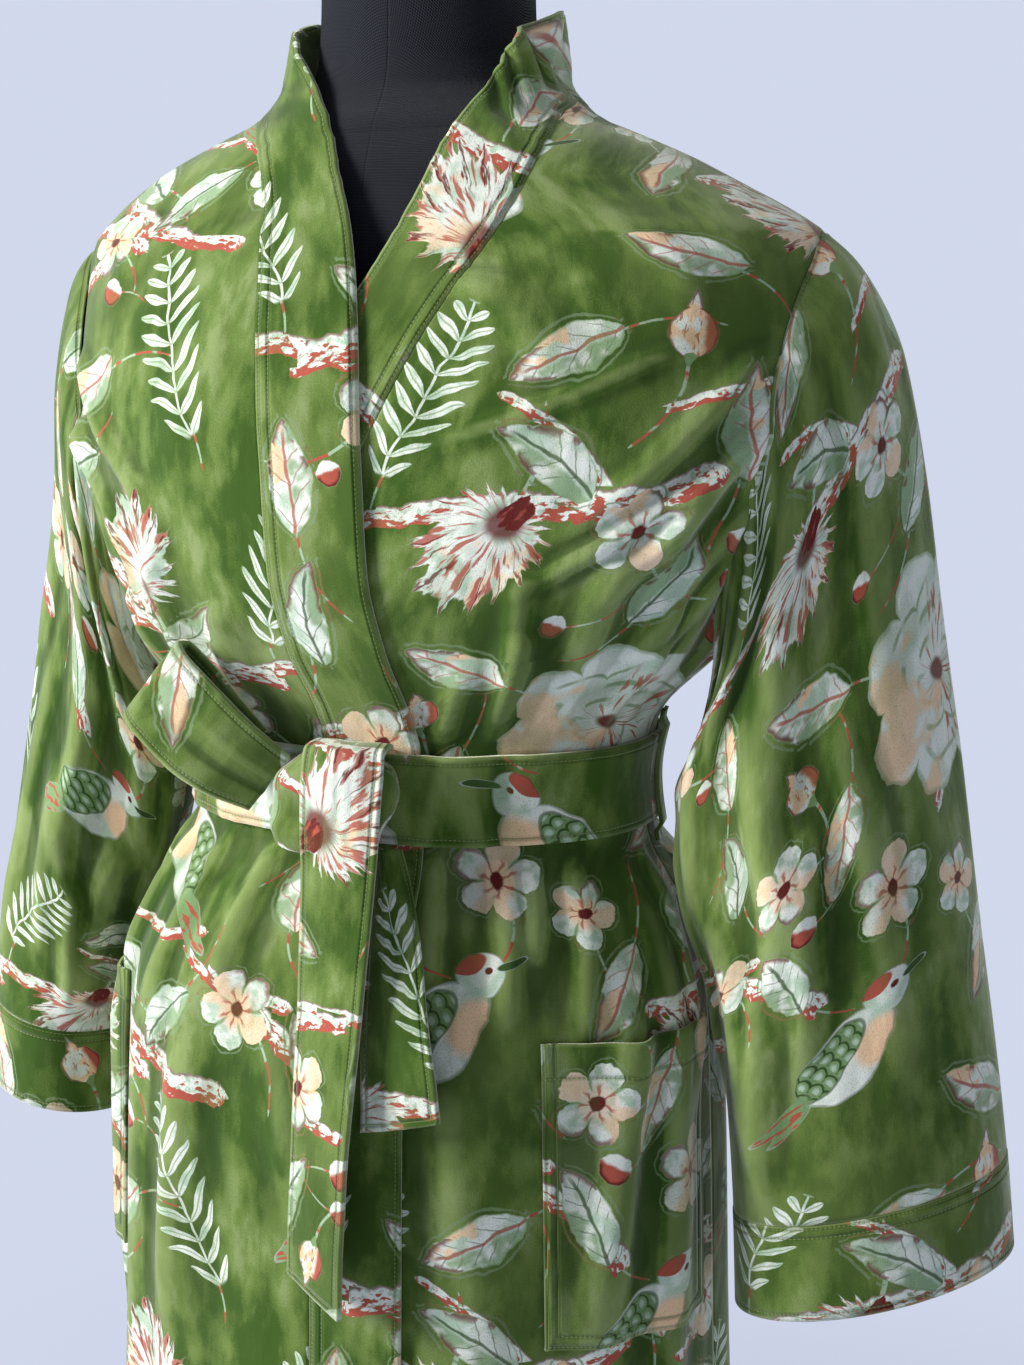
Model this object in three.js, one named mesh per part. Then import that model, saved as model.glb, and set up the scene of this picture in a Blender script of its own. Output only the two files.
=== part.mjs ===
// A wrap kimono robe of printed velvet, worn by a limbless tailor's dress form on a round stand.
// Millimetres. +Z is up, the robe faces -Y, and the wearer's left is +X. The origin is on the floor,
// under the middle of the stand's base plate.
import * as THREE from "three";
import { mergeVertices } from "three/addons/utils/BufferGeometryUtils.js";

// Driving sizes
const CLOTH = 2.2; // velvet wall of the panels and sleeves
const BAND = 3.0; // neckband, folded double and pressed
const BELT = 3.6; // belt, folded double
const SEAM = 0.35; // gap between pieces that are sewn edge to edge
const LAYER = 0.9; // gap between pieces that lie on each other
const HEM_Z = 180;
const NECK_Z = 1392; // foot of the neckband at the shoulders and the back
const COLLAR_TOP = 1444; // top edge of the neckband behind the neck
const TIP_Z = 1318; // top of the armhole
const UNDERARM_Z = 1090; // bottom of the armhole
const ARM_OPEN = 24; // widest half angle of the armhole, in degrees round the body
const WAIST_Z = 1005;
const BELT_HEIGHT = 52;
const CUFF_HEIGHT = 55;
const POCKET_TOP = 872;
const POCKET_FOOT = 690;
const POCKET_GAPE = 4; // how far the mouth stands open
const BASE_RADIUS = 185;
const BASE_THICK = 8;
const POLE_RADIUS = 16;
const LIFT = BAND + LAYER + 0.5; // how far the right front lies outside the left one

// Level sections of the robe's body: half width, depth to the front and to the back, how square, and
// how far the section sits towards the wearer's left
const BODY = [
  { z: 180, side: 226, front: 160, back: 168, square: 2.15, shift: -8 },
  { z: 420, side: 208, front: 149, back: 157, square: 2.15, shift: -8 },
  { z: 640, side: 194, front: 140, back: 149, square: 2.15, shift: -8 },
  { z: 800, side: 189, front: 135, back: 143, square: 2.15, shift: -8 },
  { z: 870, side: 185, front: 131, back: 138, square: 2.15, shift: -7 },
  { z: 930, side: 166, front: 118, back: 122, square: 2.15, shift: -4 },
  { z: 972, side: 142, front: 101, back: 99, square: 2.15, shift: -2 },
  { z: 1005, side: 138, front: 98, back: 96, square: 2.15, shift: -2 },
  { z: 1036, side: 142, front: 101, back: 98, square: 2.15, shift: -1 },
  { z: 1090, side: 180, front: 122, back: 107, square: 2.3, shift: 2 },
  { z: 1137, side: 201, front: 134, back: 113, square: 2.45, shift: 8 },
  { z: 1204, side: 224, front: 133, back: 117, square: 2.5, shift: 12 },
  { z: 1260, side: 231, front: 121, back: 117, square: 2.4, shift: 13 },
  { z: 1300, side: 231, front: 106, back: 111, square: 2.2, shift: 12 },
  { z: 1318, side: 226, front: 99, back: 106, square: 2.1, shift: 10 },
  { z: 1331, side: 211, front: 94, back: 101, square: 2.0, shift: 6 },
  { z: 1344, side: 190, front: 89, back: 97, square: 2.0, shift: 2 },
  { z: 1358, side: 165, front: 84, back: 94, square: 2.0, shift: 0 },
  { z: 1372, side: 133, front: 78, back: 91, square: 2.0, shift: 0 },
  { z: 1384, side: 104, front: 72, back: 89, square: 2.0, shift: 0 },
  { z: 1392, side: 94, front: 68, back: 88, square: 2.0, shift: 0 },
  { z: 1404, side: 84, front: 64, back: 87, square: 2.0, shift: 0 },
  { z: 1444, side: 75, front: 60, back: 86, square: 2.0, shift: 0 },
];

// Heights at which every piece of the body is sampled; the armhole's own heights are added below
const PANEL_COLUMNS = { front_left: 15, front_right: 15, back: 20 };
const SHOULDER_ROWS = [1392, 1384, 1372, 1358, 1344, 1331];
const ARMHOLE_STEPS = 10;
const SKIRT_ROWS = [1062, 1046, 1031, 1005, 979, 962, 930, 872, 812, 750, 690, 570, 440, 310, HEM_Z];

// Where the side seams run, in degrees round the body: 0 is the wearer's left, 90 the front
const SIDE_SEAMS = [
  { z: HEM_Z, left: 0, right: 209 },
  { z: 870, left: 0, right: 208 },
  { z: 1005, left: 0, right: 192 },
  { z: UNDERARM_Z, left: 0, right: 180 },
];

// The neckband: its seam and its free edge on each front, by x and height, from the shoulder down
const RIGHT_BAND = [
  { seamX: -93, seamZ: 1394, edgeX: -68, edgeZ: 1434 },
  { seamX: -86, seamZ: 1382, edgeX: -52, edgeZ: 1412 },
  { seamX: -72, seamZ: 1366, edgeX: -30, edgeZ: 1386 },
  { seamX: -60, seamZ: 1337, edgeX: -9, edgeZ: 1346 },
  { seamX: -52, seamZ: 1304, edgeX: 4, edgeZ: 1310 },
  { seamX: -45, seamZ: 1255, edgeX: 15, edgeZ: 1261 },
  { seamX: -39, seamZ: 1207, edgeX: 21, edgeZ: 1209 },
  { seamX: -35, seamZ: 1142, edgeX: 24, edgeZ: 1145 },
  { seamX: -29, seamZ: 1090, edgeX: 29, edgeZ: 1092 },
  { seamX: -21, seamZ: 1062, edgeX: 34, edgeZ: 1063 },
  { seamX: -17, seamZ: 1036, edgeX: 38, edgeZ: 1036 },
];
const LEFT_BAND = [
  { seamX: 94, seamZ: 1394, edgeX: 68, edgeZ: 1434 },
  { seamX: 98, seamZ: 1374, edgeX: 60, edgeZ: 1404 },
  { seamX: 92, seamZ: 1342, edgeX: 45, edgeZ: 1370 },
  { seamX: 81, seamZ: 1316, edgeX: 35, edgeZ: 1341 },
  { seamX: 64, seamZ: 1288, edgeX: 22, edgeZ: 1312 },
  { seamX: 46, seamZ: 1256, edgeX: 5, edgeZ: 1280 },
  { seamX: 26, seamZ: 1215, edgeX: -16, edgeZ: 1240 },
  { seamX: -3, seamZ: 1160, edgeX: -46, edgeZ: 1186 },
  { seamX: -32, seamZ: 1110, edgeX: -80, edgeZ: 1134 },
  { seamX: -57, seamZ: 1062, edgeX: -108, edgeZ: 1080 },
  { seamX: -68, seamZ: 1036, edgeX: -120, edgeZ: 1040 },
  { seamX: -74, seamZ: 1005, edgeX: -128, edgeZ: 1005 },
];
const BAND_FRONT_SEAM = { left: -76, right: -15 }; // x of the bands' seams from the waist to the hem
const BAND_WIDTH = 55;
const COLLAR_ANGLES = [-89.6, -68, -46, -24, -6]; // from the back of the neck to the shoulder

// Folds of the body: a line from one angle and height to another, its half width and its height
const FOLDS = [
  { from: 30, fromZ: 975, to: 44, toZ: 560, wide: 17, high: 7 },
  { from: 18, fromZ: 980, to: 22, toZ: 470, wide: 15, high: 8 },
  { from: 62, fromZ: 960, to: 66, toZ: 250, wide: 24, high: 6 },
  { from: 352, fromZ: 960, to: 350, toZ: 185, wide: 20, high: 5 },
  { from: 116, fromZ: 985, to: 124, toZ: 500, wide: 20, high: 6 },
  { from: 134, fromZ: 985, to: 142, toZ: 185, wide: 18, high: 8 },
  { from: 152, fromZ: 975, to: 163, toZ: 330, wide: 18, high: 6 },
  { from: 100, fromZ: 700, to: 104, toZ: 185, wide: 26, high: 6 },
  { from: 184, fromZ: 975, to: 186, toZ: 185, wide: 20, high: 5 },
  { from: 222, fromZ: 980, to: 220, toZ: 185, wide: 22, high: 9 },
  { from: 248, fromZ: 985, to: 246, toZ: 350, wide: 20, high: 7 },
  { from: 270, fromZ: 980, to: 272, toZ: 185, wide: 26, high: 9 },
  { from: 296, fromZ: 985, to: 298, toZ: 330, wide: 20, high: 7 },
  { from: 322, fromZ: 980, to: 324, toZ: 185, wide: 22, high: 9 },
  { from: 26, fromZ: 1250, to: 20, toZ: 1030, wide: 12, high: 7 },
  { from: 40, fromZ: 1200, to: 32, toZ: 1030, wide: 12, high: 5 },
  { from: 150, fromZ: 1230, to: 158, toZ: 1030, wide: 13, high: 6 },
  { from: 136, fromZ: 1170, to: 143, toZ: 1030, wide: 12, high: 4 },
  { from: 206, fromZ: 1240, to: 214, toZ: 1030, wide: 16, high: 7 },
  { from: 244, fromZ: 1200, to: 248, toZ: 1030, wide: 18, high: 6 },
  { from: 294, fromZ: 1200, to: 292, toZ: 1030, wide: 18, high: 6 },
  { from: 334, fromZ: 1240, to: 326, toZ: 1030, wide: 16, high: 7 },
];
const DEGREE_MM = 2.7; // arc of one degree round the body, near enough for the folds' widths

// Sleeves, from the armhole to the cuff's edge: the outer line, the inner line and the half depth;
// x is counted outwards from the middle of the robe
const LEFT_SLEEVE = [
  { t: 0.0, outX: 236, outY: -3, outZ: 1318, inX: 184, inY: -3, inZ: 1090, deep: 62 },
  { t: 0.1, outX: 262, outY: 0, outZ: 1296, inX: 188, inY: -6, inZ: 1066, deep: 58 },
  { t: 0.2, outX: 279, outY: 4, outZ: 1250, inX: 181, inY: -8, inZ: 1036, deep: 55 },
  { t: 0.32, outX: 292, outY: 10, outZ: 1184, inX: 164, inY: -10, inZ: 996, deep: 52 },
  { t: 0.46, outX: 303, outY: 16, outZ: 1104, inX: 172, inY: -12, inZ: 944, deep: 54 },
  { t: 0.62, outX: 318, outY: 24, outZ: 1006, inX: 191, inY: -12, inZ: 888, deep: 57 },
  { t: 0.8, outX: 336, outY: 32, outZ: 900, inX: 198, inY: -10, inZ: 828, deep: 61 },
  { t: 1.0, outX: 352, outY: 38, outZ: 786, inX: 203, inY: -6, inZ: 752, deep: 64 },
  { t: 1.1, outX: 358, outY: 40, outZ: 728, inX: 205, inY: -4, inZ: 694, deep: 65 },
];
const RIGHT_SLEEVE = [
  { t: 0.0, outX: 218, outY: -3, outZ: 1318, inX: 182, inY: -3, inZ: 1090, deep: 62 },
  { t: 0.1, outX: 236, outY: 0, outZ: 1292, inX: 181, inY: -6, inZ: 1066, deep: 58 },
  { t: 0.2, outX: 243, outY: 4, outZ: 1242, inX: 177, inY: -8, inZ: 1036, deep: 55 },
  { t: 0.32, outX: 252, outY: 8, outZ: 1176, inX: 169, inY: -8, inZ: 996, deep: 53 },
  { t: 0.46, outX: 267, outY: 12, outZ: 1098, inX: 178, inY: -8, inZ: 944, deep: 56 },
  { t: 0.62, outX: 286, outY: 16, outZ: 1004, inX: 202, inY: -6, inZ: 894, deep: 60 },
  { t: 0.8, outX: 308, outY: 20, outZ: 912, inX: 213, inY: -4, inZ: 850, deep: 66 },
  { t: 1.0, outX: 326, outY: 24, outZ: 832, inX: 217, inY: 0, inZ: 808, deep: 72 },
  { t: 1.1, outX: 332, outY: 26, outZ: 776, inX: 219, inY: 2, inZ: 752, deep: 73 },
];
const ARM_EASE = { left: 1.7, right: 0.4 }; // gap along the armhole seams
const SLEEVE_ROWS = [0, 0.04, 0.1, 0.17, 0.25, 0.34, 0.44, 0.54, 0.65, 0.76, 0.88, 1];
const CUFF_ROWS = [1, 1.05, 1.1];
// Folds of a sleeve: angle round it (0 outer, 90 front, 180 inner), place along it, width and height
const SLEEVE_FOLDS = [
  { from: 72, fromT: 0.02, to: 122, toT: 0.9, wide: 15, high: 8 },
  { from: 108, fromT: 0.02, to: 158, toT: 0.6, wide: 13, high: 8 },
  { from: 40, fromT: 0.03, to: 36, toT: 0.85, wide: 16, high: 5 },
  { from: 290, fromT: 0.02, to: 240, toT: 0.9, wide: 17, high: 8 },
  { from: 322, fromT: 0.05, to: 318, toT: 0.95, wide: 16, high: 5 },
];
const SLEEVE_DEGREE_MM = 1.3;

// The dress form's level sections, bottom to top
const FORM = [
  { z: 690, side: 150, front: 102, back: 110 },
  { z: 698, side: 164, front: 112, back: 121 },
  { z: 712, side: 170, front: 116, back: 126 },
  { z: 760, side: 173, front: 118, back: 129 },
  { z: 810, side: 173, front: 117, back: 129 },
  { z: 860, side: 166, front: 112, back: 123 },
  { z: 910, side: 149, front: 102, back: 107 },
  { z: 955, side: 129, front: 92, back: 91 },
  { z: 1000, side: 121, front: 88, back: 85 },
  { z: 1040, side: 126, front: 92, back: 87 },
  { z: 1090, side: 142, front: 110, back: 96 },
  { z: 1140, side: 158, front: 124, back: 103 },
  { z: 1180, side: 165, front: 125, back: 107 },
  { z: 1220, side: 170, front: 117, back: 109 },
  { z: 1260, side: 178, front: 105, back: 108 },
  { z: 1295, side: 187, front: 95, back: 104 },
  { z: 1318, side: 192, front: 91, back: 99 },
  { z: 1332, side: 191, front: 88, back: 96 },
  { z: 1342, side: 186, front: 85, back: 94 },
  { z: 1356, side: 163, front: 81, back: 92 },
  { z: 1370, side: 131, front: 75, back: 89 },
  { z: 1382, side: 102, front: 69, back: 86 },
  { z: 1392, side: 84, front: 61, back: 82 },
  { z: 1404, side: 70, front: 54, back: 78 },
  { z: 1420, side: 64, front: 51, back: 76 },
  { z: 1460, side: 62, front: 50, back: 75 },
  { z: 1494, side: 62, front: 50, back: 75 },
];
const FORM_SIDES = 32;

const rad = THREE.MathUtils.degToRad;
const smooth = THREE.MathUtils.smoothstep;

// A column of a table at a height or place, by a cubic that never overshoots its rows
function read(rows, key, column, at) {
  const up = rows[0][key] < rows[rows.length - 1][key];
  const list = up ? rows : [...rows].reverse();
  const last = list.length - 1;
  if (at <= list[0][key]) return list[0][column];
  if (at >= list[last][key]) return list[last][column];
  let i = 0;
  while (list[i + 1][key] < at) i += 1;
  const slope = (k) => {
    const a = list[k];
    const b = list[k + 1];
    return (b[column] - a[column]) / (b[key] - a[key]);
  };
  const tangent = (k) => {
    if (k === 0 || k === last) return k === 0 ? slope(0) : slope(last - 1);
    const before = slope(k - 1);
    const after = slope(k);
    return before * after <= 0 ? 0 : (2 * before * after) / (before + after);
  };
  const gap = list[i + 1][key] - list[i][key];
  const s = (at - list[i][key]) / gap;
  const ease = s * s * (3 - 2 * s);
  const a = list[i][column];
  const b = list[i + 1][column];
  const bend = s * (1 - s) * (1 - s) * tangent(i) - s * s * (1 - s) * tangent(i + 1);
  return a + (b - a) * ease + gap * bend;
}

const power = (value, exponent) => Math.sign(value) * Math.abs(value) ** exponent;

// How far the folds move the body's surface out at an angle and height
function foldHeight(angle, z) {
  let sum = 0;
  for (const fold of FOLDS) {
    const along = (fold.fromZ - z) / (fold.fromZ - fold.toZ);
    if (along <= 0 || along >= 1) continue;
    const middle = fold.from + (fold.to - fold.from) * along;
    const turn = ((angle - middle + 540) % 360) - 180;
    const off = (turn * DEGREE_MM) / fold.wide;
    const fade = smooth(along, 0, 0.18) * (fold.toZ < 200 ? 1 : 1 - smooth(along, 0.6, 1));
    sum += fold.high * fade * Math.exp(-off * off);
  }
  return sum * (1 - smooth(z, WAIST_Z - 34, WAIST_Z - 30) * (1 - smooth(z, WAIST_Z + 30, WAIST_Z + 34)));
}

// A point of the body's surface at an angle round it and a height, moved out by a distance
function bodyPoint(angle, z, out = 0) {
  const row = (column) => read(BODY, "z", column, z);
  const exponent = 2 / row("square");
  const c = power(Math.cos(rad(angle)), exponent);
  const s = power(Math.sin(rad(angle)), exponent);
  const away = foldHeight(angle, z) + out;
  const deep = s > 0 ? row("front") : row("back");
  const x = row("shift") + (row("side") + away) * c;
  return new THREE.Vector3(x, -(deep + away) * s, z);
}

// The angle at which the body's front has a given x
function angleAtX(x, z) {
  const half = (x - read(BODY, "z", "shift", z)) / read(BODY, "z", "side", z);
  const c = power(Math.min(1, Math.max(-1, half)), read(BODY, "z", "square", z) / 2);
  return THREE.MathUtils.radToDeg(Math.acos(c));
}

// Half the armhole's opening at a height, in degrees round the body
function armholeAngle(z) {
  const c = (2 * z - TIP_Z - UNDERARM_Z) / (TIP_Z - UNDERARM_Z);
  return ARM_OPEN * Math.sqrt(Math.max(0, 1 - c * c));
}

const armholeHeight = (turn) => {
  const middle = (TIP_Z + UNDERARM_Z) / 2;
  return middle + ((TIP_Z - UNDERARM_Z) / 2) * Math.cos(rad(turn));
};
const armholeTurns = Array.from({ length: ARMHOLE_STEPS + 1 }, (_, i) => (180 * i) / ARMHOLE_STEPS);
const PANEL_ROWS = [...SHOULDER_ROWS, ...armholeTurns.map(armholeHeight), ...SKIRT_ROWS];

// A closed wall round a sheet given by rows of points: each row has the same number of points
function wallGeometry(grid, thick, closed = false) {
  const rows = grid.length;
  const columns = grid[0].length;
  const next = (j) => (closed ? (j + 1) % columns : Math.min(j + 1, columns - 1));
  const before = (j) => (closed ? (j - 1 + columns) % columns : Math.max(j - 1, 0));
  const normal = (i, j) => {
    const up = grid[Math.max(i - 1, 0)][j];
    const down = grid[Math.min(i + 1, rows - 1)][j];
    const along = grid[i][next(j)].clone().sub(grid[i][before(j)]);
    return along.cross(down.clone().sub(up)).normalize();
  };
  const points = [];
  for (const side of [1, -1]) {
    grid.forEach((row, i) =>
      row.forEach((p, j) => points.push(p.clone().addScaledVector(normal(i, j), (side * thick) / 2))),
    );
  }
  const at = (layer, i, j) => layer * rows * columns + i * columns + j;
  const faces = [];
  const quad = (a, b, c, d) => faces.push(a, b, c, a, c, d);
  for (let i = 0; i + 1 < rows; i += 1) {
    for (let j = 0; j < (closed ? columns : columns - 1); j += 1) {
      const k = next(j);
      quad(at(0, i, j), at(0, i, k), at(0, i + 1, k), at(0, i + 1, j));
      quad(at(1, i, j), at(1, i + 1, j), at(1, i + 1, k), at(1, i, k));
    }
  }
  for (let j = 0; j < (closed ? columns : columns - 1); j += 1) {
    const k = next(j);
    const low = rows - 1;
    quad(at(0, 0, j), at(1, 0, j), at(1, 0, k), at(0, 0, k));
    quad(at(0, low, j), at(0, low, k), at(1, low, k), at(1, low, j));
  }
  if (!closed) {
    const last = columns - 1;
    for (let i = 0; i + 1 < rows; i += 1) {
      quad(at(0, i, 0), at(0, i + 1, 0), at(1, i + 1, 0), at(1, i, 0));
      quad(at(0, i, last), at(1, i, last), at(1, i + 1, last), at(0, i + 1, last));
    }
  }
  return solidGeometry(points, faces);
}

// A geometry of points and faces, turned outwards
function solidGeometry(points, faces) {
  let volume = 0;
  for (let k = 0; k < faces.length; k += 3) {
    const [a, b, c] = [points[faces[k]], points[faces[k + 1]], points[faces[k + 2]]];
    volume += a.dot(b.clone().cross(c));
  }
  const turned = volume < 0 ? [...faces].reverse() : faces;
  const geometry = new THREE.BufferGeometry();
  const flat = points.flatMap((p) => [p.x, p.y, p.z]);
  geometry.setAttribute("position", new THREE.Float32BufferAttribute(flat, 3));
  geometry.setIndex(turned);
  return mergeVertices(geometry, 1e-4);
}

// A solid lofted through closed rings of points, with flat ends
function loftGeometry(rings) {
  const count = rings[0].length;
  const points = rings.flat();
  const faces = [];
  for (let i = 0; i + 1 < rings.length; i += 1) {
    for (let j = 0; j < count; j += 1) {
      const k = (j + 1) % count;
      const [a, b, c, d] = [i * count + j, i * count + k, (i + 1) * count + k, (i + 1) * count + j];
      faces.push(a, b, c, a, c, d);
    }
  }
  const end = (ring, turn) => {
    const middle = new THREE.Vector3();
    rings[ring].forEach((p) => middle.addScaledVector(p, 1 / count));
    const centre = points.push(middle) - 1;
    for (let j = 0; j < count; j += 1) {
      const [a, b] = [ring * count + j, ring * count + ((j + 1) % count)];
      faces.push(...(turn ? [centre, b, a] : [centre, a, b]));
    }
  };
  end(0, true);
  end(rings.length - 1, false);
  return solidGeometry(points, faces);
}

const cloth = (color) => new THREE.MeshStandardMaterial({ color, roughness: 0.92, metalness: 0 });
const velvet = cloth(0x55772f);
const velvetPale = cloth(0x6c8f45);
const jersey = cloth(0x1d2028);
const steel = new THREE.MeshStandardMaterial({ color: 0x2b2c2f, roughness: 0.45, metalness: 0.8 });

const robe = new THREE.Group();

function add(name, geometry, material) {
  const mesh = new THREE.Mesh(geometry, material);
  mesh.name = name;
  robe.add(mesh);
}

// Half a seam's gap as an angle on a section
const seamAngle = (z) => ((SEAM + 2 * smooth(z, 1366, 1384)) * 28.65) / read(BODY, "z", "front", z);

// How far the right front is lifted off the surface where it lies on the left one
function lift(angle, z) {
  const low = LEFT_BAND[LEFT_BAND.length - 1].seamZ;
  const edge = z > low ? read(LEFT_BAND, "edgeZ", "edgeX", z) : frontX("left", "edgeX", z, low);
  return LIFT * smooth(angleAtX(edge, z) + 28 - angle, 0, 14);
}

// The angle of the neckband's seam on a front at a height
function frontSeam(which, z) {
  const rows = which === "left" ? LEFT_BAND : RIGHT_BAND;
  const low = rows[rows.length - 1].seamZ;
  const x = z > low ? read(rows, "seamZ", "seamX", z) : frontX(which, "seamX", z, low);
  return angleAtX(x, z);
}

// x of a band's seam or edge below its table, where it runs on to the hem
function frontX(which, column, z, low) {
  const rows = which === "left" ? LEFT_BAND : RIGHT_BAND;
  const from = rows[rows.length - 1][column];
  const across = which === "left" ? -BAND_WIDTH : BAND_WIDTH;
  const to = BAND_FRONT_SEAM[which] + (column === "edgeX" ? across : 0);
  return from + (to - from) * smooth(low - z, 0, 120);
}

const sideSeam = (which, z) => read(SIDE_SEAMS, "z", which, Math.min(z, UNDERARM_Z));

// Angles at which a panel's row starts and ends
function panelEnds(panel, z) {
  const arm = armholeAngle(z);
  const gap = seamAngle(z);
  const left = z < UNDERARM_Z ? sideSeam("left", z) : 0;
  const right = z < UNDERARM_Z ? sideSeam("right", z) : 180;
  if (panel === "front_left") return [left + Math.max(arm, gap), frontSeam("left", z) - gap];
  if (panel === "front_right") return [frontSeam("right", z) + gap, right - Math.max(arm, gap)];
  return [right + Math.max(arm, gap), 360 + left - Math.max(arm, gap)];
}

// A panel's point: across from 0 to 1 along its row
function panelPoint(panel, across, z, out = 0) {
  const [from, to] = panelEnds(panel, z);
  const angle = from + (to - from) * across;
  const raised = panel === "front_right" ? lift(angle, z) : 0;
  return bodyPoint(angle, z, raised + out);
}

function makePanels() {
  for (const [panel, count] of Object.entries(PANEL_COLUMNS)) {
    const grid = PANEL_ROWS.map((z) =>
      Array.from({ length: count + 1 }, (_, j) => panelPoint(panel, j / count, z)),
    );
    add(panel, wallGeometry(grid, CLOTH), velvet);
  }
}

// The neckband's row of points from its seam to its free edge
function bandRow(which, seam, edge, columns) {
  return Array.from({ length: columns + 1 }, (_, j) => {
    const u = j / columns;
    const angle = seam.angle + (edge.angle - seam.angle) * u;
    const z = seam.z + (edge.z - seam.z) * u;
    const raised = which === "right" && angle < 170 ? lift(angle, z) : 0;
    return bodyPoint(angle, z, raised);
  });
}

function makeNeckband(which) {
  const sign = which === "left" ? 1 : -1;
  const turned = (angle) => (which === "left" ? angle : 180 - angle);
  const rows = which === "left" ? LEFT_BAND : RIGHT_BAND;
  const columns = 4;
  const grid = [];
  for (const angle of COLLAR_ANGLES) {
    const seam = { angle: turned(angle), z: NECK_Z + 1.6 };
    grid.push(bandRow(which, seam, { angle: turned(angle), z: COLLAR_TOP }, columns));
  }
  const shift = (angle, z) => angle + sign * seamAngle(z);
  const low = rows[rows.length - 1].seamZ;
  for (const z of PANEL_ROWS.filter((height) => height > low)) {
    const value = (column) => read(rows, "seamZ", column, z);
    const seam = { angle: shift(angleAtX(value("seamX"), z), z), z: z + 0.8 * smooth(z, 1366, 1384) };
    grid.push(bandRow(which, seam, { angle: angleAtX(value("edgeX"), value("edgeZ")), z: value("edgeZ") }, columns));
  }
  for (const z of [low, ...SKIRT_ROWS.filter((z) => z < low)]) {
    const at = (column) => angleAtX(frontX(which, column, z, low), z);
    grid.push(bandRow(which, { angle: shift(at("seamX"), z), z }, { angle: at("edgeX"), z }, columns));
  }
  add(`neckband_${which}`, wallGeometry(grid, BAND), velvetPale);
}

// How far a sleeve's folds move its surface out
function sleeveFold(turn, t) {
  let sum = 0;
  for (const fold of SLEEVE_FOLDS) {
    const along = (t - fold.fromT) / (fold.toT - fold.fromT);
    if (along <= 0 || along >= 1) continue;
    const middle = fold.from + (fold.to - fold.from) * along;
    const off = ((((turn - middle + 540) % 360) - 180) * SLEEVE_DEGREE_MM) / fold.wide;
    sum += fold.high * smooth(along, 0, 0.15) * (1 - smooth(along, 0.65, 1)) * Math.exp(-off * off);
  }
  return sum;
}

// A point of a sleeve, by the angle round it and the place along it
function sleevePoint(name, turn, t) {
  const sign = name === "left" ? 1 : -1;
  const row = (column) => read(name === "left" ? LEFT_SLEEVE : RIGHT_SLEEVE, "t", column, t);
  const [c, s] = [Math.cos(rad(turn)), Math.sin(rad(turn))];
  const swell = sleeveFold(turn, t);
  const outer = new THREE.Vector3(sign * row("outX"), row("outY"), row("outZ"));
  const inner = new THREE.Vector3(sign * row("inX"), row("inY"), row("inZ"));
  const half = outer.clone().sub(inner).multiplyScalar(0.5);
  const hanging = outer.add(inner).multiplyScalar(0.5);
  hanging.addScaledVector(half, c * (1 + swell / half.length()));
  hanging.y -= (row("deep") + swell) * s;
  const z = armholeHeight(turn);
  const arm = armholeAngle(z) * Math.sign(s) * 0.94;
  const under = smooth(-c, -0.2, 0.6);
  const sewn = bodyPoint(sign > 0 ? arm : 180 - arm, z, CLOTH / 2 + ARM_EASE[name] + (CLOTH / 2) * under);
  const free = Math.min(1, t / 0.2);
  return sewn.lerp(hanging, free * (2 - free));
}

function makeSleeve(name) {
  const turns = Array.from({ length: 2 * ARMHOLE_STEPS }, (_, i) => (180 * i) / ARMHOLE_STEPS);
  const ring = (t, drop = 0) =>
    turns.map((turn) => {
      const p = sleevePoint(name, turn, t);
      p.z -= drop;
      return p;
    });
  const rows = SLEEVE_ROWS.map((t) => ring(t));
  add(`sleeve_${name}`, wallGeometry(rows, CLOTH, true), velvet);
  const cuff = CUFF_ROWS.map((t) => ring(t, SEAM));
  add(`cuff_${name}`, wallGeometry(cuff, BAND, true), velvetPale);
}

// A patch pocket on a front, over some of the front's own rows and columns
function makePocket(name, panel, fromColumn, toColumn) {
  const heights = PANEL_ROWS.filter((z) => z <= POCKET_TOP && z >= POCKET_FOOT);
  const grid = heights.map((z) => {
    const count = toColumn - fromColumn;
    return Array.from({ length: count + 1 }, (_, j) => {
      const down = (POCKET_TOP - z) / (POCKET_TOP - POCKET_FOOT);
      const gape = POCKET_GAPE * Math.sin((Math.PI * j) / count) * (1 - smooth(down, 0, 0.45));
      return panelPoint(panel, (fromColumn + j) / PANEL_COLUMNS[panel], z, CLOTH + LAYER + gape);
    });
  });
  add(name, wallGeometry(grid, CLOTH), velvetPale);
}

// How far the belt lies outside the body's surface at an angle
const beltSeat = (angle) => {
  const crossed = angle < 200 ? lift(angle, WAIST_Z) * smooth(angle, 54, 66) : 0;
  return CLOTH / 2 + BELT / 2 + LAYER + 0.6 + crossed;
};

function makeBelt() {
  const count = 56;
  const heights = [BELT_HEIGHT / 2, 0, -BELT_HEIGHT / 2];
  const grid = heights.map((up) =>
    Array.from({ length: count }, (_, j) => {
      const angle = (360 * j) / count;
      return bodyPoint(angle, WAIST_Z + up, beltSeat(angle));
    }),
  );
  add("belt", wallGeometry(grid, BELT, true), velvetPale);
}

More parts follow.
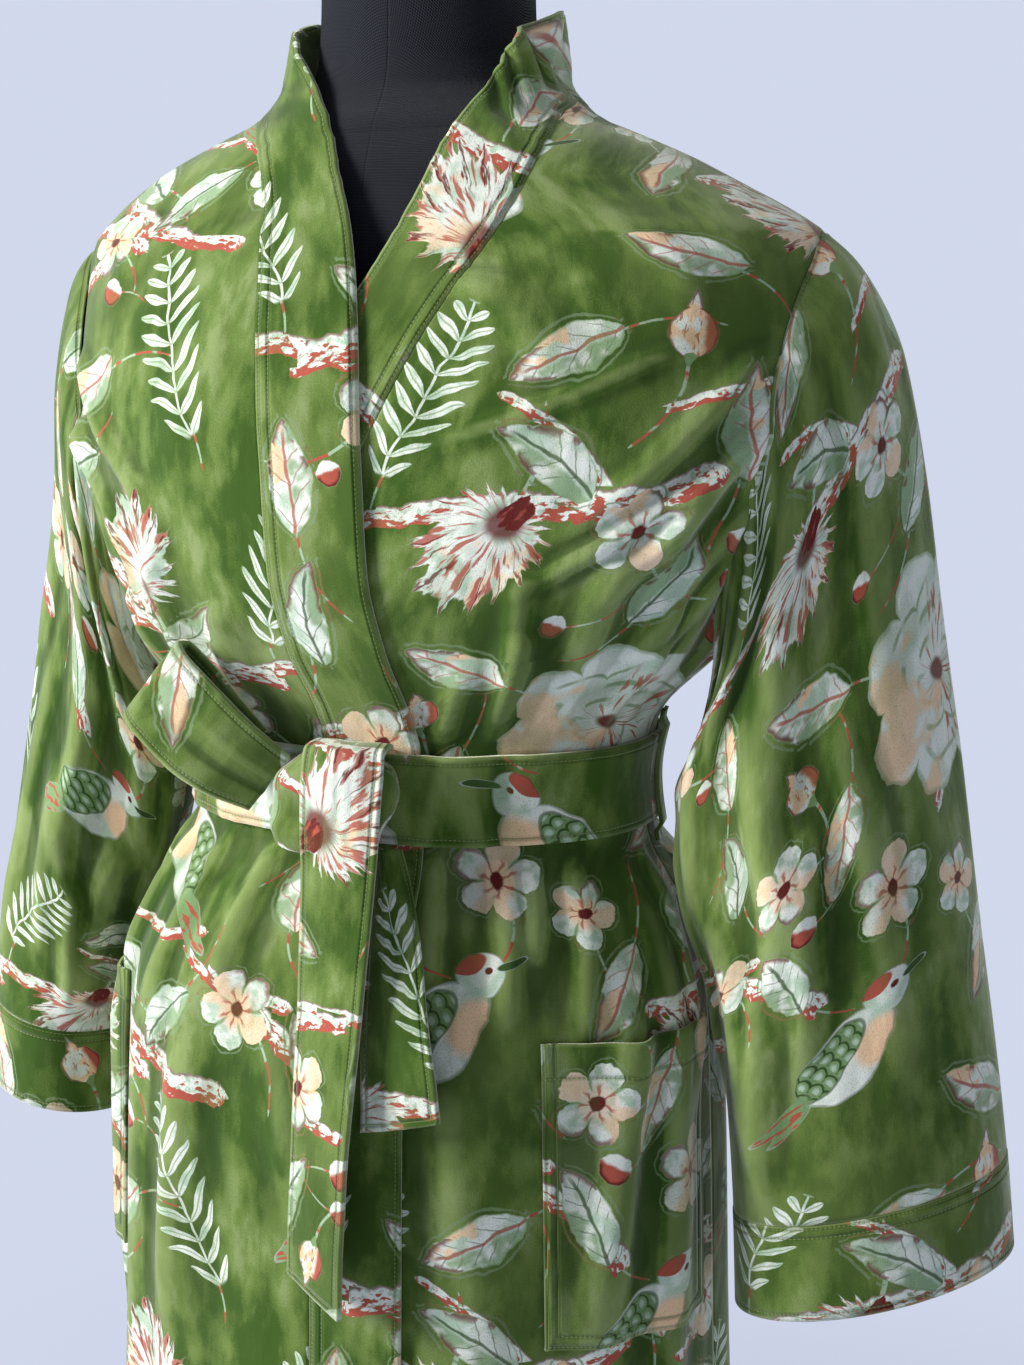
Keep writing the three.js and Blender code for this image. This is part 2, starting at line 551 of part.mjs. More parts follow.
// A loop of cloth that holds the belt at a side seam
function makeBeltLoop(name, angle) {
  const wide = 11; // millimetres along the belt
  const turn = wide / 2 / 1.72; // half of it in degrees
  const outside = beltSeat(angle) + BELT / 2 + LAYER + CLOTH / 2;
  const foot = CLOTH + 0.9;
  const profile = [
    { up: 40, out: foot },
    { up: 34, out: foot + 1.4 },
    { up: 29, out: outside },
    { up: 20, out: outside },
    { up: 0, out: outside },
    { up: -20, out: outside },
    { up: -29, out: outside },
    { up: -34, out: foot + 1.4 },
    { up: -40, out: foot },
  ];
  const grid = profile.map(({ up, out }) =>
    [-turn, 0, turn].map((side) => {
      return bodyPoint(angle + side, WAIST_Z + up, out);
    }),
  );
  add(name, wallGeometry(grid, CLOTH), velvet);
}

// The tied belt: a strip along a path, each row with its middle, half width and turn
function stripGeometry(path, thick, columns = 4) {
  const grid = path.map((row) =>
    Array.from({ length: columns + 1 }, (_, j) => {
      const u = (2 * j) / columns - 1;
      const [c, s] = [Math.cos(rad(row.turn)), Math.sin(rad(row.turn))];
      const tilt = Math.tan(rad(row.tilt ?? 0));
      const bow = (row.bow ?? 0) * (1 - u * u);
      return new THREE.Vector3(
        row.x + row.half * u * c,
        row.y - row.half * u * s - bow,
        row.z + row.half * u * tilt,
      );
    }),
  );
  return wallGeometry(grid, thick);
}

// The long end comes over the knot and hangs to the front; the short end hangs beside it
const LONG_END = [
  { x: 8, y: -113, z: 1036, half: 20, turn: 0 },
  { x: 8, y: -123, z: 1038.8, half: 22, turn: 0 },
  { x: 8, y: -133, z: 1037, half: 24, turn: 0, bow: 2 },
  { x: 8, y: -137, z: 1022, half: 25, turn: 2, bow: 3 },
  { x: 8, y: -141, z: 990, half: 25, turn: 6, bow: 3 },
  { x: 7, y: -144, z: 950, half: 24, turn: 11, bow: 3 },
  { x: 5, y: -149, z: 900, half: 24, turn: 17, bow: 2 },
  { x: 2, y: -153, z: 850, half: 24, turn: 22, bow: 2 },
  { x: -1, y: -156, z: 800, half: 24, turn: 25, bow: 2 },
  { x: -3, y: -158, z: 755, half: 24, turn: 26, bow: 1 },
  { x: -4, y: -159, z: 722, half: 24, turn: 26, bow: 0, tilt: -14 },
];
const SHORT_END = [
  { x: 25.6, y: -116.4, z: 979, half: 9, turn: 0, bow: 2 },
  { x: 30, y: -121, z: 962, half: 12, turn: 2, bow: 3 },
  { x: 37, y: -132, z: 925, half: 17, turn: 5, bow: 4 },
  { x: 42, y: -143, z: 885, half: 21, turn: 6, bow: 3 },
  { x: 46, y: -148, z: 850, half: 24, turn: 6, bow: 2, tilt: 10 },
  { x: 47, y: -149, z: 828, half: 25, turn: 6, bow: 1, tilt: 16 },
];
// The bow's loop runs from the knot up to the wearer's right and back behind itself
const LOOP = [
  { x: -44.6, y: -124.4, z: 1012, high: 19 },
  { x: -66, y: -138, z: 1029, high: 24 },
  { x: -84, y: -143, z: 1045, high: 26 },
  { x: -102, y: -143, z: 1061, high: 26 },
  { x: -112, y: -137, z: 1070, high: 26 },
  { x: -111, y: -129, z: 1069, high: 26 },
  { x: -98, y: -125, z: 1057, high: 25 },
  { x: -80, y: -123, z: 1041, high: 22 },
  { x: -62, y: -119, z: 1026, high: 18 },
];
const KNOT = { x: -6, y: -122, z: 1004, wide: 38, deep: 12, high: 32, lean: 0.25 };

function makeKnot() {
  const [rounds, levels] = [20, 10];
  const rings = [];
  for (let i = 1; i < levels; i += 1) {
    const up = Math.PI * (i / levels) - Math.PI / 2;
    const reach = power(Math.cos(up), 0.7);
    const z = KNOT.z + KNOT.high * power(Math.sin(up), 0.8);
    rings.push(
      Array.from({ length: rounds }, (_, j) => {
        const a = (2 * Math.PI * j) / rounds;
        const x = KNOT.x + KNOT.wide * reach * power(Math.cos(a), 0.8) + KNOT.lean * (z - KNOT.z);
        return new THREE.Vector3(x, KNOT.y + KNOT.deep * reach * power(Math.sin(a), 0.8), z);
      }),
    );
  }
  add("belt_knot", loftGeometry(rings), velvetPale);
}

function makeBow() {
  const lean = 0.72; // sideways step of the belt's width for each step up, across the loop's run
  const grid = LOOP.map(({ x, y, z, high }) =>
    [-1, -0.5, 0, 0.5, 1].map((u) => new THREE.Vector3(x + u * high * lean, y, z + u * high * 0.86)),
  );
  add("belt_bow", wallGeometry(grid, BELT), velvetPale);
}

function makeForm() {
  const ring = ({ z, side, front, back }) =>
    Array.from({ length: FORM_SIDES }, (_, j) => {
      const a = (2 * Math.PI * j) / FORM_SIDES;
      const deep = Math.sin(a) < 0 ? front : back;
      return new THREE.Vector3(side * Math.cos(a), deep * Math.sin(a), z);
    });
  add("form_torso", loftGeometry(FORM.map(ring)), jersey);
  const top = FORM[FORM.length - 1];
  const cap = [
    { ...top, z: top.z + 0.3 },
    { ...top, z: top.z + 4 },
    { z: top.z + 7, side: top.side - 4, front: top.front - 4, back: top.back - 4 },
  ];
  add("form_neck_cap", loftGeometry(cap.map(ring)), jersey);
}

// A round piece of the stand, turned about the pole
function turnedPiece(name, profile, sides, material) {
  const points = profile.map(([radius, z]) => new THREE.Vector2(radius, z));
  const geometry = new THREE.LatheGeometry(points, sides).rotateX(Math.PI / 2);
  add(name, geometry, material);
}

function makeStand() {
  const foot = FORM[0].z;
  const plate = [[0, 0], [BASE_RADIUS - 2, 0], [BASE_RADIUS, 2], [BASE_RADIUS, BASE_THICK - 3]];
  plate.push([BASE_RADIUS - 4, BASE_THICK], [0, BASE_THICK]);
  turnedPiece("stand_base", plate, 48, steel);
  const collarTop = BASE_THICK + 40;
  const collar = [[0, BASE_THICK + 0.3], [38, BASE_THICK + 0.3], [38, BASE_THICK + 8], [24, collarTop], [0, collarTop]];
  turnedPiece("stand_collar", collar, 24, steel);
  const poleTop = foot - 12;
  const pole = [[0, collarTop + 0.3], [POLE_RADIUS, collarTop + 0.3], [POLE_RADIUS, poleTop], [0, poleTop]];
  turnedPiece("stand_pole", pole, 24, steel);
  const socket = [[0, poleTop + 0.3], [60, poleTop + 0.3], [60, foot - 0.3], [0, foot - 0.3]];
  turnedPiece("stand_socket", socket, 32, steel);
}

makePanels();
makeNeckband("left");
makeNeckband("right");
makeSleeve("left");
makeSleeve("right");
makePocket("pocket_left", "front_left", 1, 7);
makePocket("pocket_right", "front_right", 7, 13);
makeBelt();
makeBeltLoop("belt_loop_left", -6);
makeBeltLoop("belt_loop_right", 187);
makeKnot();
makeBow();
add("belt_end_long", stripGeometry(LONG_END, BELT), velvetPale);
add("belt_end_short", stripGeometry(SHORT_END, BELT), velvetPale);
makeForm();
makeStand();

export default robe;
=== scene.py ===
import math

import bmesh
import bpy
import numpy as np
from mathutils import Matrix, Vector


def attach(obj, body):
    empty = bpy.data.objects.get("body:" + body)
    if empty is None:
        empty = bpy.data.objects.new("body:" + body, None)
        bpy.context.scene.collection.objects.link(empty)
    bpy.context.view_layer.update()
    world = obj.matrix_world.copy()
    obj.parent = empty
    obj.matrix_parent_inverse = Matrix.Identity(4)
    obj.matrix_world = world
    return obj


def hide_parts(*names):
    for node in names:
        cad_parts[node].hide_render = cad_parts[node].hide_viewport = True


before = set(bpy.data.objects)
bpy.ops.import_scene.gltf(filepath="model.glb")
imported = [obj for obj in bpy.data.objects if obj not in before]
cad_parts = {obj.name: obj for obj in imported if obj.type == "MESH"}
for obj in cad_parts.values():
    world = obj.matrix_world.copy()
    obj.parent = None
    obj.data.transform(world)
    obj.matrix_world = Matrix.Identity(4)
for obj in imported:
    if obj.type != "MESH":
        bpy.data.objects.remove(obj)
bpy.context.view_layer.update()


# Tables of sizes
def table(names, *rows):
    """Columns of a table by name."""
    return {name: np.array([row[i] for row in rows], float) for i, name in enumerate(names.split())}


CLOTH = 2.2  # velvet wall
BAND = 3.0  # neckband and cuffs, folded double
BELT = 3.6
SEAM = 0.35  # how far a cuff hangs below the sleeve it is sewn to
LAYER = 0.9  # clearance between two layers of cloth
HEM_Z = 180
NECK_Z = 1392
COLLAR_TOP = 1444
TIP_Z = 1318
UNDERARM_Z = 1090
ARM_OPEN = 24
WAIST_Z = 1005
BELT_HEIGHT = 52
POCKET_TOP = 872
POCKET_FOOT = 690
POCKET_GAPE = 4
LIFT = BAND + LAYER + 0.5  # how far the right front stands off the left one under it
BAND_WIDTH = 55
ARM_LAP = 1.05  # the sleeve's head laps the armhole's edge by this share of its half width
CREASE_DEPTH = 2.7
CREASE_BREADTH = 1.25
BAND_FRONT_SEAM = {"left": -76, "right": -15}
NOT_SEWN = 999.0  # distance to an edge that has no sewn line
NO_LINE = -50.0  # place of a sewn line that isn't there

BODY = table(
    "z side front back square shift",
    (180, 226, 160, 168, 2.15, -8),
    (420, 208, 149, 157, 2.15, -8),
    (640, 194, 140, 149, 2.15, -8),
    (800, 189, 135, 143, 2.15, -8),
    (870, 185, 131, 138, 2.15, -7),
    (930, 166, 118, 122, 2.15, -4),
    (972, 142, 101, 99, 2.15, -2),
    (1005, 138, 98, 96, 2.15, -2),
    (1036, 142, 101, 98, 2.15, -1),
    (1090, 180, 122, 107, 2.3, 2),
    (1137, 201, 134, 113, 2.45, 8),
    (1204, 224, 133, 117, 2.5, 12),
    (1260, 231, 121, 117, 2.4, 13),
    (1300, 231, 106, 111, 2.2, 12),
    (1318, 226, 99, 106, 2.1, 10),
    (1331, 211, 94, 101, 2.0, 6),
    (1344, 190, 89, 97, 2.0, 2),
    (1358, 165, 84, 94, 2.0, 0),
    (1372, 133, 78, 91, 2.0, 0),
    (1384, 104, 72, 89, 2.0, 0),
    (1392, 94, 68, 88, 2.0, 0),
    (1404, 84, 64, 87, 2.0, 0),
    (1444, 75, 60, 86, 2.0, 0),
)
SIDE_SEAMS = table("z left right", (180, 0, 209), (870, 0, 208), (1005, 0, 192), (1090, 0, 180))
RIGHT_BAND = table(
    "seamX seamZ edgeX edgeZ",
    (-93, 1394, -68, 1434),
    (-86, 1382, -52, 1412),
    (-72, 1366, -30, 1386),
    (-60, 1337, -9, 1346),
    (-52, 1304, 4, 1310),
    (-45, 1255, 15, 1261),
    (-39, 1207, 21, 1209),
    (-35, 1142, 24, 1145),
    (-29, 1090, 29, 1092),
    (-21, 1062, 34, 1063),
    (-17, 1036, 38, 1036),
)
LEFT_BAND = table(
    "seamX seamZ edgeX edgeZ",
    (94, 1394, 68, 1434),
    (98, 1374, 60, 1404),
    (92, 1342, 45, 1370),
    (81, 1316, 35, 1341),
    (64, 1288, 22, 1312),
    (46, 1256, 5, 1280),
    (26, 1215, -16, 1240),
    (-3, 1160, -46, 1186),
    (-32, 1110, -80, 1134),
    (-57, 1062, -108, 1080),
    (-68, 1036, -120, 1040),
    (-74, 1005, -128, 1005),
)
BANDS = {"left": LEFT_BAND, "right": RIGHT_BAND}
SLEEVES = {
    "left": table(
        "t outX outY outZ inX inY inZ deep",
        (0.0, 236, -3, 1318, 184, -3, 1090, 62),
        (0.1, 262, 0, 1296, 188, -6, 1066, 58),
        (0.2, 279, 4, 1250, 181, -8, 1036, 55),
        (0.32, 292, 10, 1184, 164, -10, 996, 52),
        (0.46, 303, 16, 1104, 172, -12, 944, 54),
        (0.62, 318, 24, 1006, 191, -12, 888, 57),
        (0.8, 336, 32, 900, 198, -10, 828, 61),
        (1.0, 352, 38, 786, 203, -6, 752, 64),
        (1.1, 358, 40, 728, 205, -4, 694, 65),
    ),
    "right": table(
        "t outX outY outZ inX inY inZ deep",
        (0.0, 218, -3, 1318, 182, -3, 1090, 62),
        (0.1, 236, 0, 1292, 181, -6, 1066, 58),
        (0.2, 243, 4, 1242, 177, -8, 1036, 55),
        (0.32, 252, 8, 1176, 169, -8, 996, 53),
        (0.46, 267, 12, 1098, 178, -8, 944, 56),
        (0.62, 286, 16, 1004, 202, -6, 894, 60),
        (0.8, 308, 20, 912, 213, -4, 850, 66),
        (1.0, 326, 24, 832, 217, 0, 808, 72),
        (1.1, 332, 26, 776, 219, 2, 752, 73),
    ),
}
# The large folds of the body, as on the part: a line from one angle and height to another
FOLDS = table(
    "start startZ end endZ wide high",
    (30, 975, 44, 560, 17, 7),
    (18, 980, 22, 470, 15, 8),
    (62, 960, 66, 250, 24, 6),
    (352, 960, 350, 185, 20, 5),
    (116, 985, 124, 500, 20, 6),
    (134, 985, 142, 185, 18, 8),
    (152, 975, 163, 330, 18, 6),
    (100, 700, 104, 185, 26, 6),
    (184, 975, 186, 185, 20, 5),
    (222, 980, 220, 185, 22, 9),
    (248, 985, 246, 350, 20, 7),
    (270, 980, 272, 185, 26, 9),
    (296, 985, 298, 330, 20, 7),
    (322, 980, 324, 185, 22, 9),
    (26, 1250, 20, 1030, 12, 7),
    (40, 1200, 32, 1030, 12, 5),
    (150, 1230, 158, 1030, 13, 6),
    (136, 1170, 143, 1030, 12, 4),
    (206, 1240, 214, 1030, 16, 7),
    (244, 1200, 248, 1030, 18, 6),
    (294, 1200, 292, 1030, 18, 6),
    (334, 1240, 326, 1030, 16, 7),
)
# Finer creases between them, as they gather at the belt, the armholes and the side seams
CREASES = table(
    "start startZ end endZ wide high",
    (9, 978, 12, 800, 7, 2.6),
    (36, 976, 44, 850, 7, 2.4),
    (48, 974, 52, 905, 6, 2.2),
    (56, 976, 58, 868, 7, 2.8),
    (72, 976, 74, 884, 6, 2.0),
    (79, 976, 79, 902, 6, 1.6),
    (108, 976, 112, 868, 7, 2.4),
    (125, 978, 131, 830, 7, 2.8),
    (143, 978, 151, 846, 6, 2.6),
    (164, 978, 172, 800, 7, 2.6),
    (176, 976, 182, 880, 6, 2.0),
    (200, 978, 204, 820, 8, 2.8),
    (212, 978, 213, 880, 7, 2.2),
    (234, 980, 234, 830, 8, 2.8),
    (259, 980, 260, 850, 7, 2.2),
    (284, 980, 284, 820, 8, 2.8),
    (309, 980, 310, 860, 7, 2.4),
    (334, 978, 336, 820, 8, 2.6),
    (346, 978, 345, 890, 6, 2.0),
    (12, 1150, 10, 1032, 7, 2.6),
    (33, 1130, 28, 1032, 6, 2.4),
    (50, 1160, 45, 1032, 9, 2.4),
    (61, 1110, 58, 1032, 7, 2.2),
    (70, 1084, 69, 1032, 6, 1.8),
    (109, 1120, 114, 1032, 8, 2.2),
    (122, 1150, 128, 1032, 8, 2.6),
    (143, 1120, 150, 1032, 6, 2.4),
    (165, 1140, 170, 1032, 7, 2.6),
    (196, 1160, 200, 1032, 8, 2.6),
    (226, 1150, 228, 1032, 8, 2.4),
    (262, 1140, 263, 1032, 9, 2.2),
    (278, 1160, 277, 1032, 9, 2.2),
    (312, 1150, 308, 1032, 8, 2.4),
    (345, 1140, 342, 1032, 7, 2.6),
    (27, 1262, 62, 1150, 9, 2.6),
    (26, 1222, 52, 1108, 8, 3.0),
    (25, 1180, 40, 1062, 7, 2.8),
    (153, 1258, 122, 1160, 9, 2.2),
    (154, 1216, 132, 1120, 8, 2.4),
    (78, 1300, 62, 1236, 10, 1.6),
    (52, 1330, 40, 1262, 10, 1.4),
    (128, 1330, 142, 1270, 10, 1.4),
    (232, 1310, 246, 1200, 14, 1.8),
    (306, 1310, 292, 1200, 14, 1.8),
    (92, 600, 90, 300, 18, 3.0),
    (48, 640, 50, 186, 16, 4.0),
    (76, 560, 80, 186, 15, 3.4),
    (152, 500, 150, 186, 15, 3.6),
    (172, 640, 170, 186, 16, 3.6),
    (204, 620, 202, 186, 16, 4.2),
    (238, 520, 236, 186, 15, 4.0),
    (256, 660, 258, 186, 15, 4.2),
    (286, 560, 288, 186, 15, 4.0),
    (308, 640, 308, 186, 16, 4.2),
    (338, 560, 338, 186, 15, 3.6),
    (22, 520, 22, 186, 16, 4.0),
    (30, 1204, 68, 1120, 6, 2.2),
    (24, 1140, 34, 1048, 6, 2.4),
    (44, 1262, 88, 1196, 8, 1.3),
    (66, 1150, 56, 1034, 6, 1.6),
    (128, 1190, 120, 1110, 7, 1.6),
    (140, 1100, 132, 1034, 6, 1.8),
    (100, 880, 88, 720, 10, 1.6),
    (70, 860, 66, 700, 9, 1.8),
    (118, 860, 124, 640, 9, 2.4),
    (30, 900, 40, 700, 8, 2.0),
    (156, 880, 150, 600, 9, 2.2),
    (210, 900, 216, 700, 9, 2.0),
    (258, 860, 250, 640, 10, 2.0),
    (290, 900, 300, 700, 9, 2.0),
    (328, 880, 322, 660, 9, 2.0),
)
DEGREE_MM = 2.7  # width of one degree of the body's girth
SLEEVE_FOLDS = table(
    "start startT end endT wide high",
    (72, 0.02, 122, 0.9, 15, 8),
    (108, 0.02, 158, 0.6, 13, 8),
    (40, 0.03, 36, 0.85, 16, 5),
    (290, 0.02, 240, 0.9, 17, 8),
    (322, 0.05, 318, 0.95, 16, 5),
)
SLEEVE_CREASES = table(
    "start startT end endT wide high",
    (90, 0.0, 128, 0.42, 7, 3.0),
    (128, 0.0, 172, 0.34, 7, 3.2),
    (145, 0.02, 196, 0.26, 7, 3.0),
    (56, 0.0, 70, 0.36, 8, 2.2),
    (20, 0.0, 24, 0.3, 9, 1.8),
    (108, 0.3, 92, 0.74, 9, 2.0),
    (66, 0.42, 58, 0.96, 10, 2.2),
    (140, 0.5, 132, 1.0, 10, 2.4),
    (160, 0.34, 178, 0.86, 8, 2.4),
    (306, 0.0, 300, 0.4, 8, 2.6),
    (262, 0.0, 232, 0.36, 8, 3.0),
    (226, 0.02, 200, 0.3, 8, 3.0),
    (270, 0.46, 284, 1.0, 11, 2.4),
    (206, 0.5, 212, 1.0, 11, 2.4),
    (350, 0.1, 352, 0.8, 10, 1.8),
    (76, 0.0, 96, 0.2, 5, 2.0),
    (112, 0.0, 146, 0.22, 5, 2.4),
    (84, 0.5, 104, 0.86, 7, 1.8),
    (48, 0.12, 44, 0.6, 9, 1.6),
    (120, 0.62, 128, 1.0, 7, 2.0),
    (284, 0.1, 262, 0.5, 8, 2.0),
    (318, 0.2, 322, 0.7, 9, 1.8),
)
SLEEVE_DEGREE_MM = 1.3  # and of a sleeve's
FORM = table(
    "z side front back",
    (690, 150, 102, 110),
    (698, 164, 112, 121),
    (712, 170, 116, 126),
    (760, 173, 118, 129),
    (810, 173, 117, 129),
    (860, 166, 112, 123),
    (910, 149, 102, 107),
    (955, 129, 92, 91),
    (1000, 121, 88, 85),
    (1040, 126, 92, 87),
    (1090, 142, 110, 96),
    (1140, 158, 124, 103),
    (1180, 165, 125, 107),
    (1220, 170, 117, 109),
    (1260, 178, 105, 108),
    (1295, 187, 95, 104),
    (1318, 192, 91, 99),
    (1332, 191, 88, 96),
    (1342, 186, 85, 94),
    (1356, 163, 81, 92),
    (1370, 131, 75, 89),
    (1382, 102, 69, 86),
    (1392, 84, 61, 82),
    (1404, 70, 54, 78),
    (1420, 64, 51, 76),
    (1460, 62, 50, 75),
    (1494, 62, 50, 75),
)
FORM_ROUNDING = 22  # height of the form's rounded lower edge
FORM_SHOULDER = 1340
FORM_NECK_SEAM = 1390  # the neck's seam at the sides
FORM_SEAM_SLOPE = 16  # and how far it dips at the front and rises at the back
# Creases across the belt round the waist
BELT_DEGREE_MM = 2.4
BELT_CREASES = table(
    "at wide slant high",
    (72, 5, 0.10, 1.8),
    (64, 6, -0.12, 1.4),
    (50, 8, 0.05, 1.0),
    (118, 5, 0.12, 2.0),
    (128, 6, -0.10, 1.6),
    (142, 7, 0.06, 1.4),
    (160, 7, -0.05, 1.2),
    (24, 9, 0.04, 0.9),
    (214, 9, 0.05, 1.2),
    (262, 10, -0.04, 1.0),
    (318, 9, 0.05, 1.2),
)
# The tied belt: middles and half widths of its free ends and its loop
LONG_END = table(
    "x y z half turn bow tilt",
    (8, -113, 1036, 20, 0, 0, 0),
    (8, -123, 1038.8, 22, 0, 0, 0),
    (8, -133, 1037, 24, 0, 2, 0),
    (8, -137, 1022, 25, 2, 3, 0),
    (8, -141, 990, 25, 6, 3, 0),
    (7, -144, 950, 24, 11, 3, 0),
    (5, -149, 900, 24, 17, 2, 0),
    (2, -153, 850, 24, 22, 2, 0),
    (-1, -156, 800, 24, 25, 2, 0),
    (-3, -158, 755, 24, 26, 1, 0),
    (-4, -159, 722, 24, 26, 0, -14),
)
SHORT_END = table(
    "x y z half turn bow tilt",
    (25.6, -116.4, 979, 9, 0, 2, 0),
    (30, -121, 962, 12, 2, 3, 0),
    (37, -132, 925, 17, 5, 4, 0),
    (42, -143, 885, 21, 6, 3, 0),
    (46, -148, 850, 24, 6, 2, 10),
    (47, -149, 828, 25, 6, 1, 16),
)
LOOP = table(
    "x y z high",
    (-44.6, -124.4, 1012, 19),
    (-66, -138, 1029, 24),
    (-84, -143, 1045, 26),
    (-102, -143, 1061, 26),
    (-112, -137, 1070, 26),
    (-111, -129, 1069, 26),
    (-98, -125, 1057, 25),
    (-80, -123, 1041, 22),
    (-62, -119, 1026, 18),
)
# Rows of those tables between which the ends crease
GATHERED = {"belt_end_long": (1, 6.5), "belt_end_short": (0, 3.2)}
LOOP_LEAN = 0.72
KNOT = {"x": -6, "y": -122, "z": 1004, "wide": 38, "deep": 12, "high": 32, "lean": 0.25}


# Shapes of the robe
def read(tab, key, column, at):
    """A column at a height or place, by a cubic that never overshoots its rows."""
    order = np.argsort(tab[key])
    k, c = tab[key][order], tab[column][order]
    at = np.clip(np.asarray(at, float), k[0], k[-1])
    slope = np.diff(c) / np.diff(k)
    tangent = np.empty_like(c)
    tangent[0], tangent[-1] = slope[0], slope[-1]
    before, after = slope[:-1], slope[1:]
    same = before * after > 0
    total = np.where(same, before + after, 1)
    tangent[1:-1] = np.where(same, 2 * before * after / total, 0)
    i = np.clip(np.searchsorted(k, at, side="left") - 1, 0, len(k) - 2)
    gap = k[i + 1] - k[i]
    s = (at - k[i]) / gap
    ease = s * s * (3 - 2 * s)
    bend = s * (1 - s) ** 2 * tangent[i] - s * s * (1 - s) * tangent[i + 1]
    return c[i] + (c[i + 1] - c[i]) * ease + gap * bend


def smooth(value, low, high):
    s = np.clip((np.asarray(value, float) - low) / (high - low), 0, 1)
    return s * s * (3 - 2 * s)


def power(value, exponent):
    return np.sign(value) * np.abs(value) ** exponent


def cos(degrees):
    return np.cos(np.radians(degrees))


def sin(degrees):
    return np.sin(np.radians(degrees))


def turn_between(angle, other):
    """The turn from one angle to another, from -180 to 180."""
    return ((angle - other + 540) % 360) - 180


def fold_sum(tab, angle, z, breadth=1.0):
    """How far a table's folds raise the robe's body at an angle and a height."""
    total = np.zeros(np.broadcast(angle, z).shape)
    for a, az, b, bz, wide, high in zip(*tab.values()):
        along = (az - z) / (az - bz)
        middle = a + (b - a) * along
        off = turn_between(angle, middle) * DEGREE_MM / (wide * breadth)
        fade = smooth(along, 0, 0.18) * (1 if bz < 200 else 1 - smooth(along, 0.6, 1))
        total += np.where((along > 0) & (along < 1), high * fade * np.exp(-off * off), 0)
    return total


def body_point(angle, z, out=0.0):
    """A point of the robe's body surface at an angle round it and a height."""
    angle, z = np.broadcast_arrays(np.asarray(angle, float), np.asarray(z, float))
    exponent = 2 / read(BODY, "z", "square", z)
    c, s = power(cos(angle), exponent), power(sin(angle), exponent)
    at_belt = smooth(z, WAIST_Z - 34, WAIST_Z - 30) * (1 - smooth(z, WAIST_Z + 30, WAIST_Z + 34))
    folds = fold_sum(FOLDS, angle, z) + CREASE_DEPTH * fold_sum(CREASES, angle, z, CREASE_BREADTH)
    away = folds * (1 - at_belt) + out
    deep = np.where(s > 0, read(BODY, "z", "front", z), read(BODY, "z", "back", z))
    x = read(BODY, "z", "shift", z) + (read(BODY, "z", "side", z) + away) * c
    return np.stack([x, -(deep + away) * s, z + 0 * x], -1)


def angle_at_x(x, z):
    half = (x - read(BODY, "z", "shift", z)) / read(BODY, "z", "side", z)
    c = power(np.clip(half, -1, 1), read(BODY, "z", "square", z) / 2)
    return np.degrees(np.arccos(np.clip(c, -1, 1)))


def armhole_angle(z):
    c = (2 * z - TIP_Z - UNDERARM_Z) / (TIP_Z - UNDERARM_Z)
    return ARM_OPEN * np.sqrt(np.maximum(0, 1 - c * c))


def armhole_height(turn):
    return (TIP_Z + UNDERARM_Z) / 2 + (TIP_Z - UNDERARM_Z) / 2 * cos(turn)


def seam_angle(z):
    return -0.3 * 28.65 / read(BODY, "z", "front", z) + 0 * z


def front_x(which, column, z):
    """x of a band's seam or edge from its table down to the hem."""
    rows = BANDS[which]
    low, first = rows["seamZ"][-1], rows[column][-1]
    across = -BAND_WIDTH if which == "left" else BAND_WIDTH
    end = BAND_FRONT_SEAM[which] + (across if column == "edgeX" else 0)
    key = "edgeZ" if column == "edgeX" else "seamZ"
    below = first + (end - first) * smooth(low - z, 0, 120)
    return np.where(z > low, read(rows, key, column, z), below)


def lift(angle, z):
    """How far the right front is lifted off the surface where it lies on the left one."""
    return LIFT * smooth(angle_at_x(front_x("left", "edgeX", z), z) + 28 - angle, 0, 14)


def side_seam(which, z):
    return read(SIDE_SEAMS, "z", which, np.minimum(z, UNDERARM_Z))


def panel_ends(panel, z):
    arm, gap = armhole_angle(z), seam_angle(z)
    arm = np.where((z > UNDERARM_Z) & (z < TIP_Z), np.maximum(arm, gap), gap)
    left, right = side_seam("left", z), side_seam("right", z)
    if panel == "front_left":
        return left + arm, angle_at_x(front_x("left", "seamX", z), z) - gap
    if panel == "front_right":
        return angle_at_x(front_x("right", "seamX", z), z) + gap, right - arm
    return right + arm, 360 + left - arm


def panel_point(panel, across, z, out=0.0):
    start, end = panel_ends(panel, z)
    angle = start + (end - start) * across
    raised = lift(angle, z) if panel == "front_right" else 0
    return body_point(angle, z, raised + out)


def belt_seat(angle):
    crossed = np.where(angle < 200, lift(angle, WAIST_Z + 0 * angle) * smooth(angle, 54, 66), 0)
    return CLOTH / 2 + BELT / 2 + LAYER + 0.6 + crossed


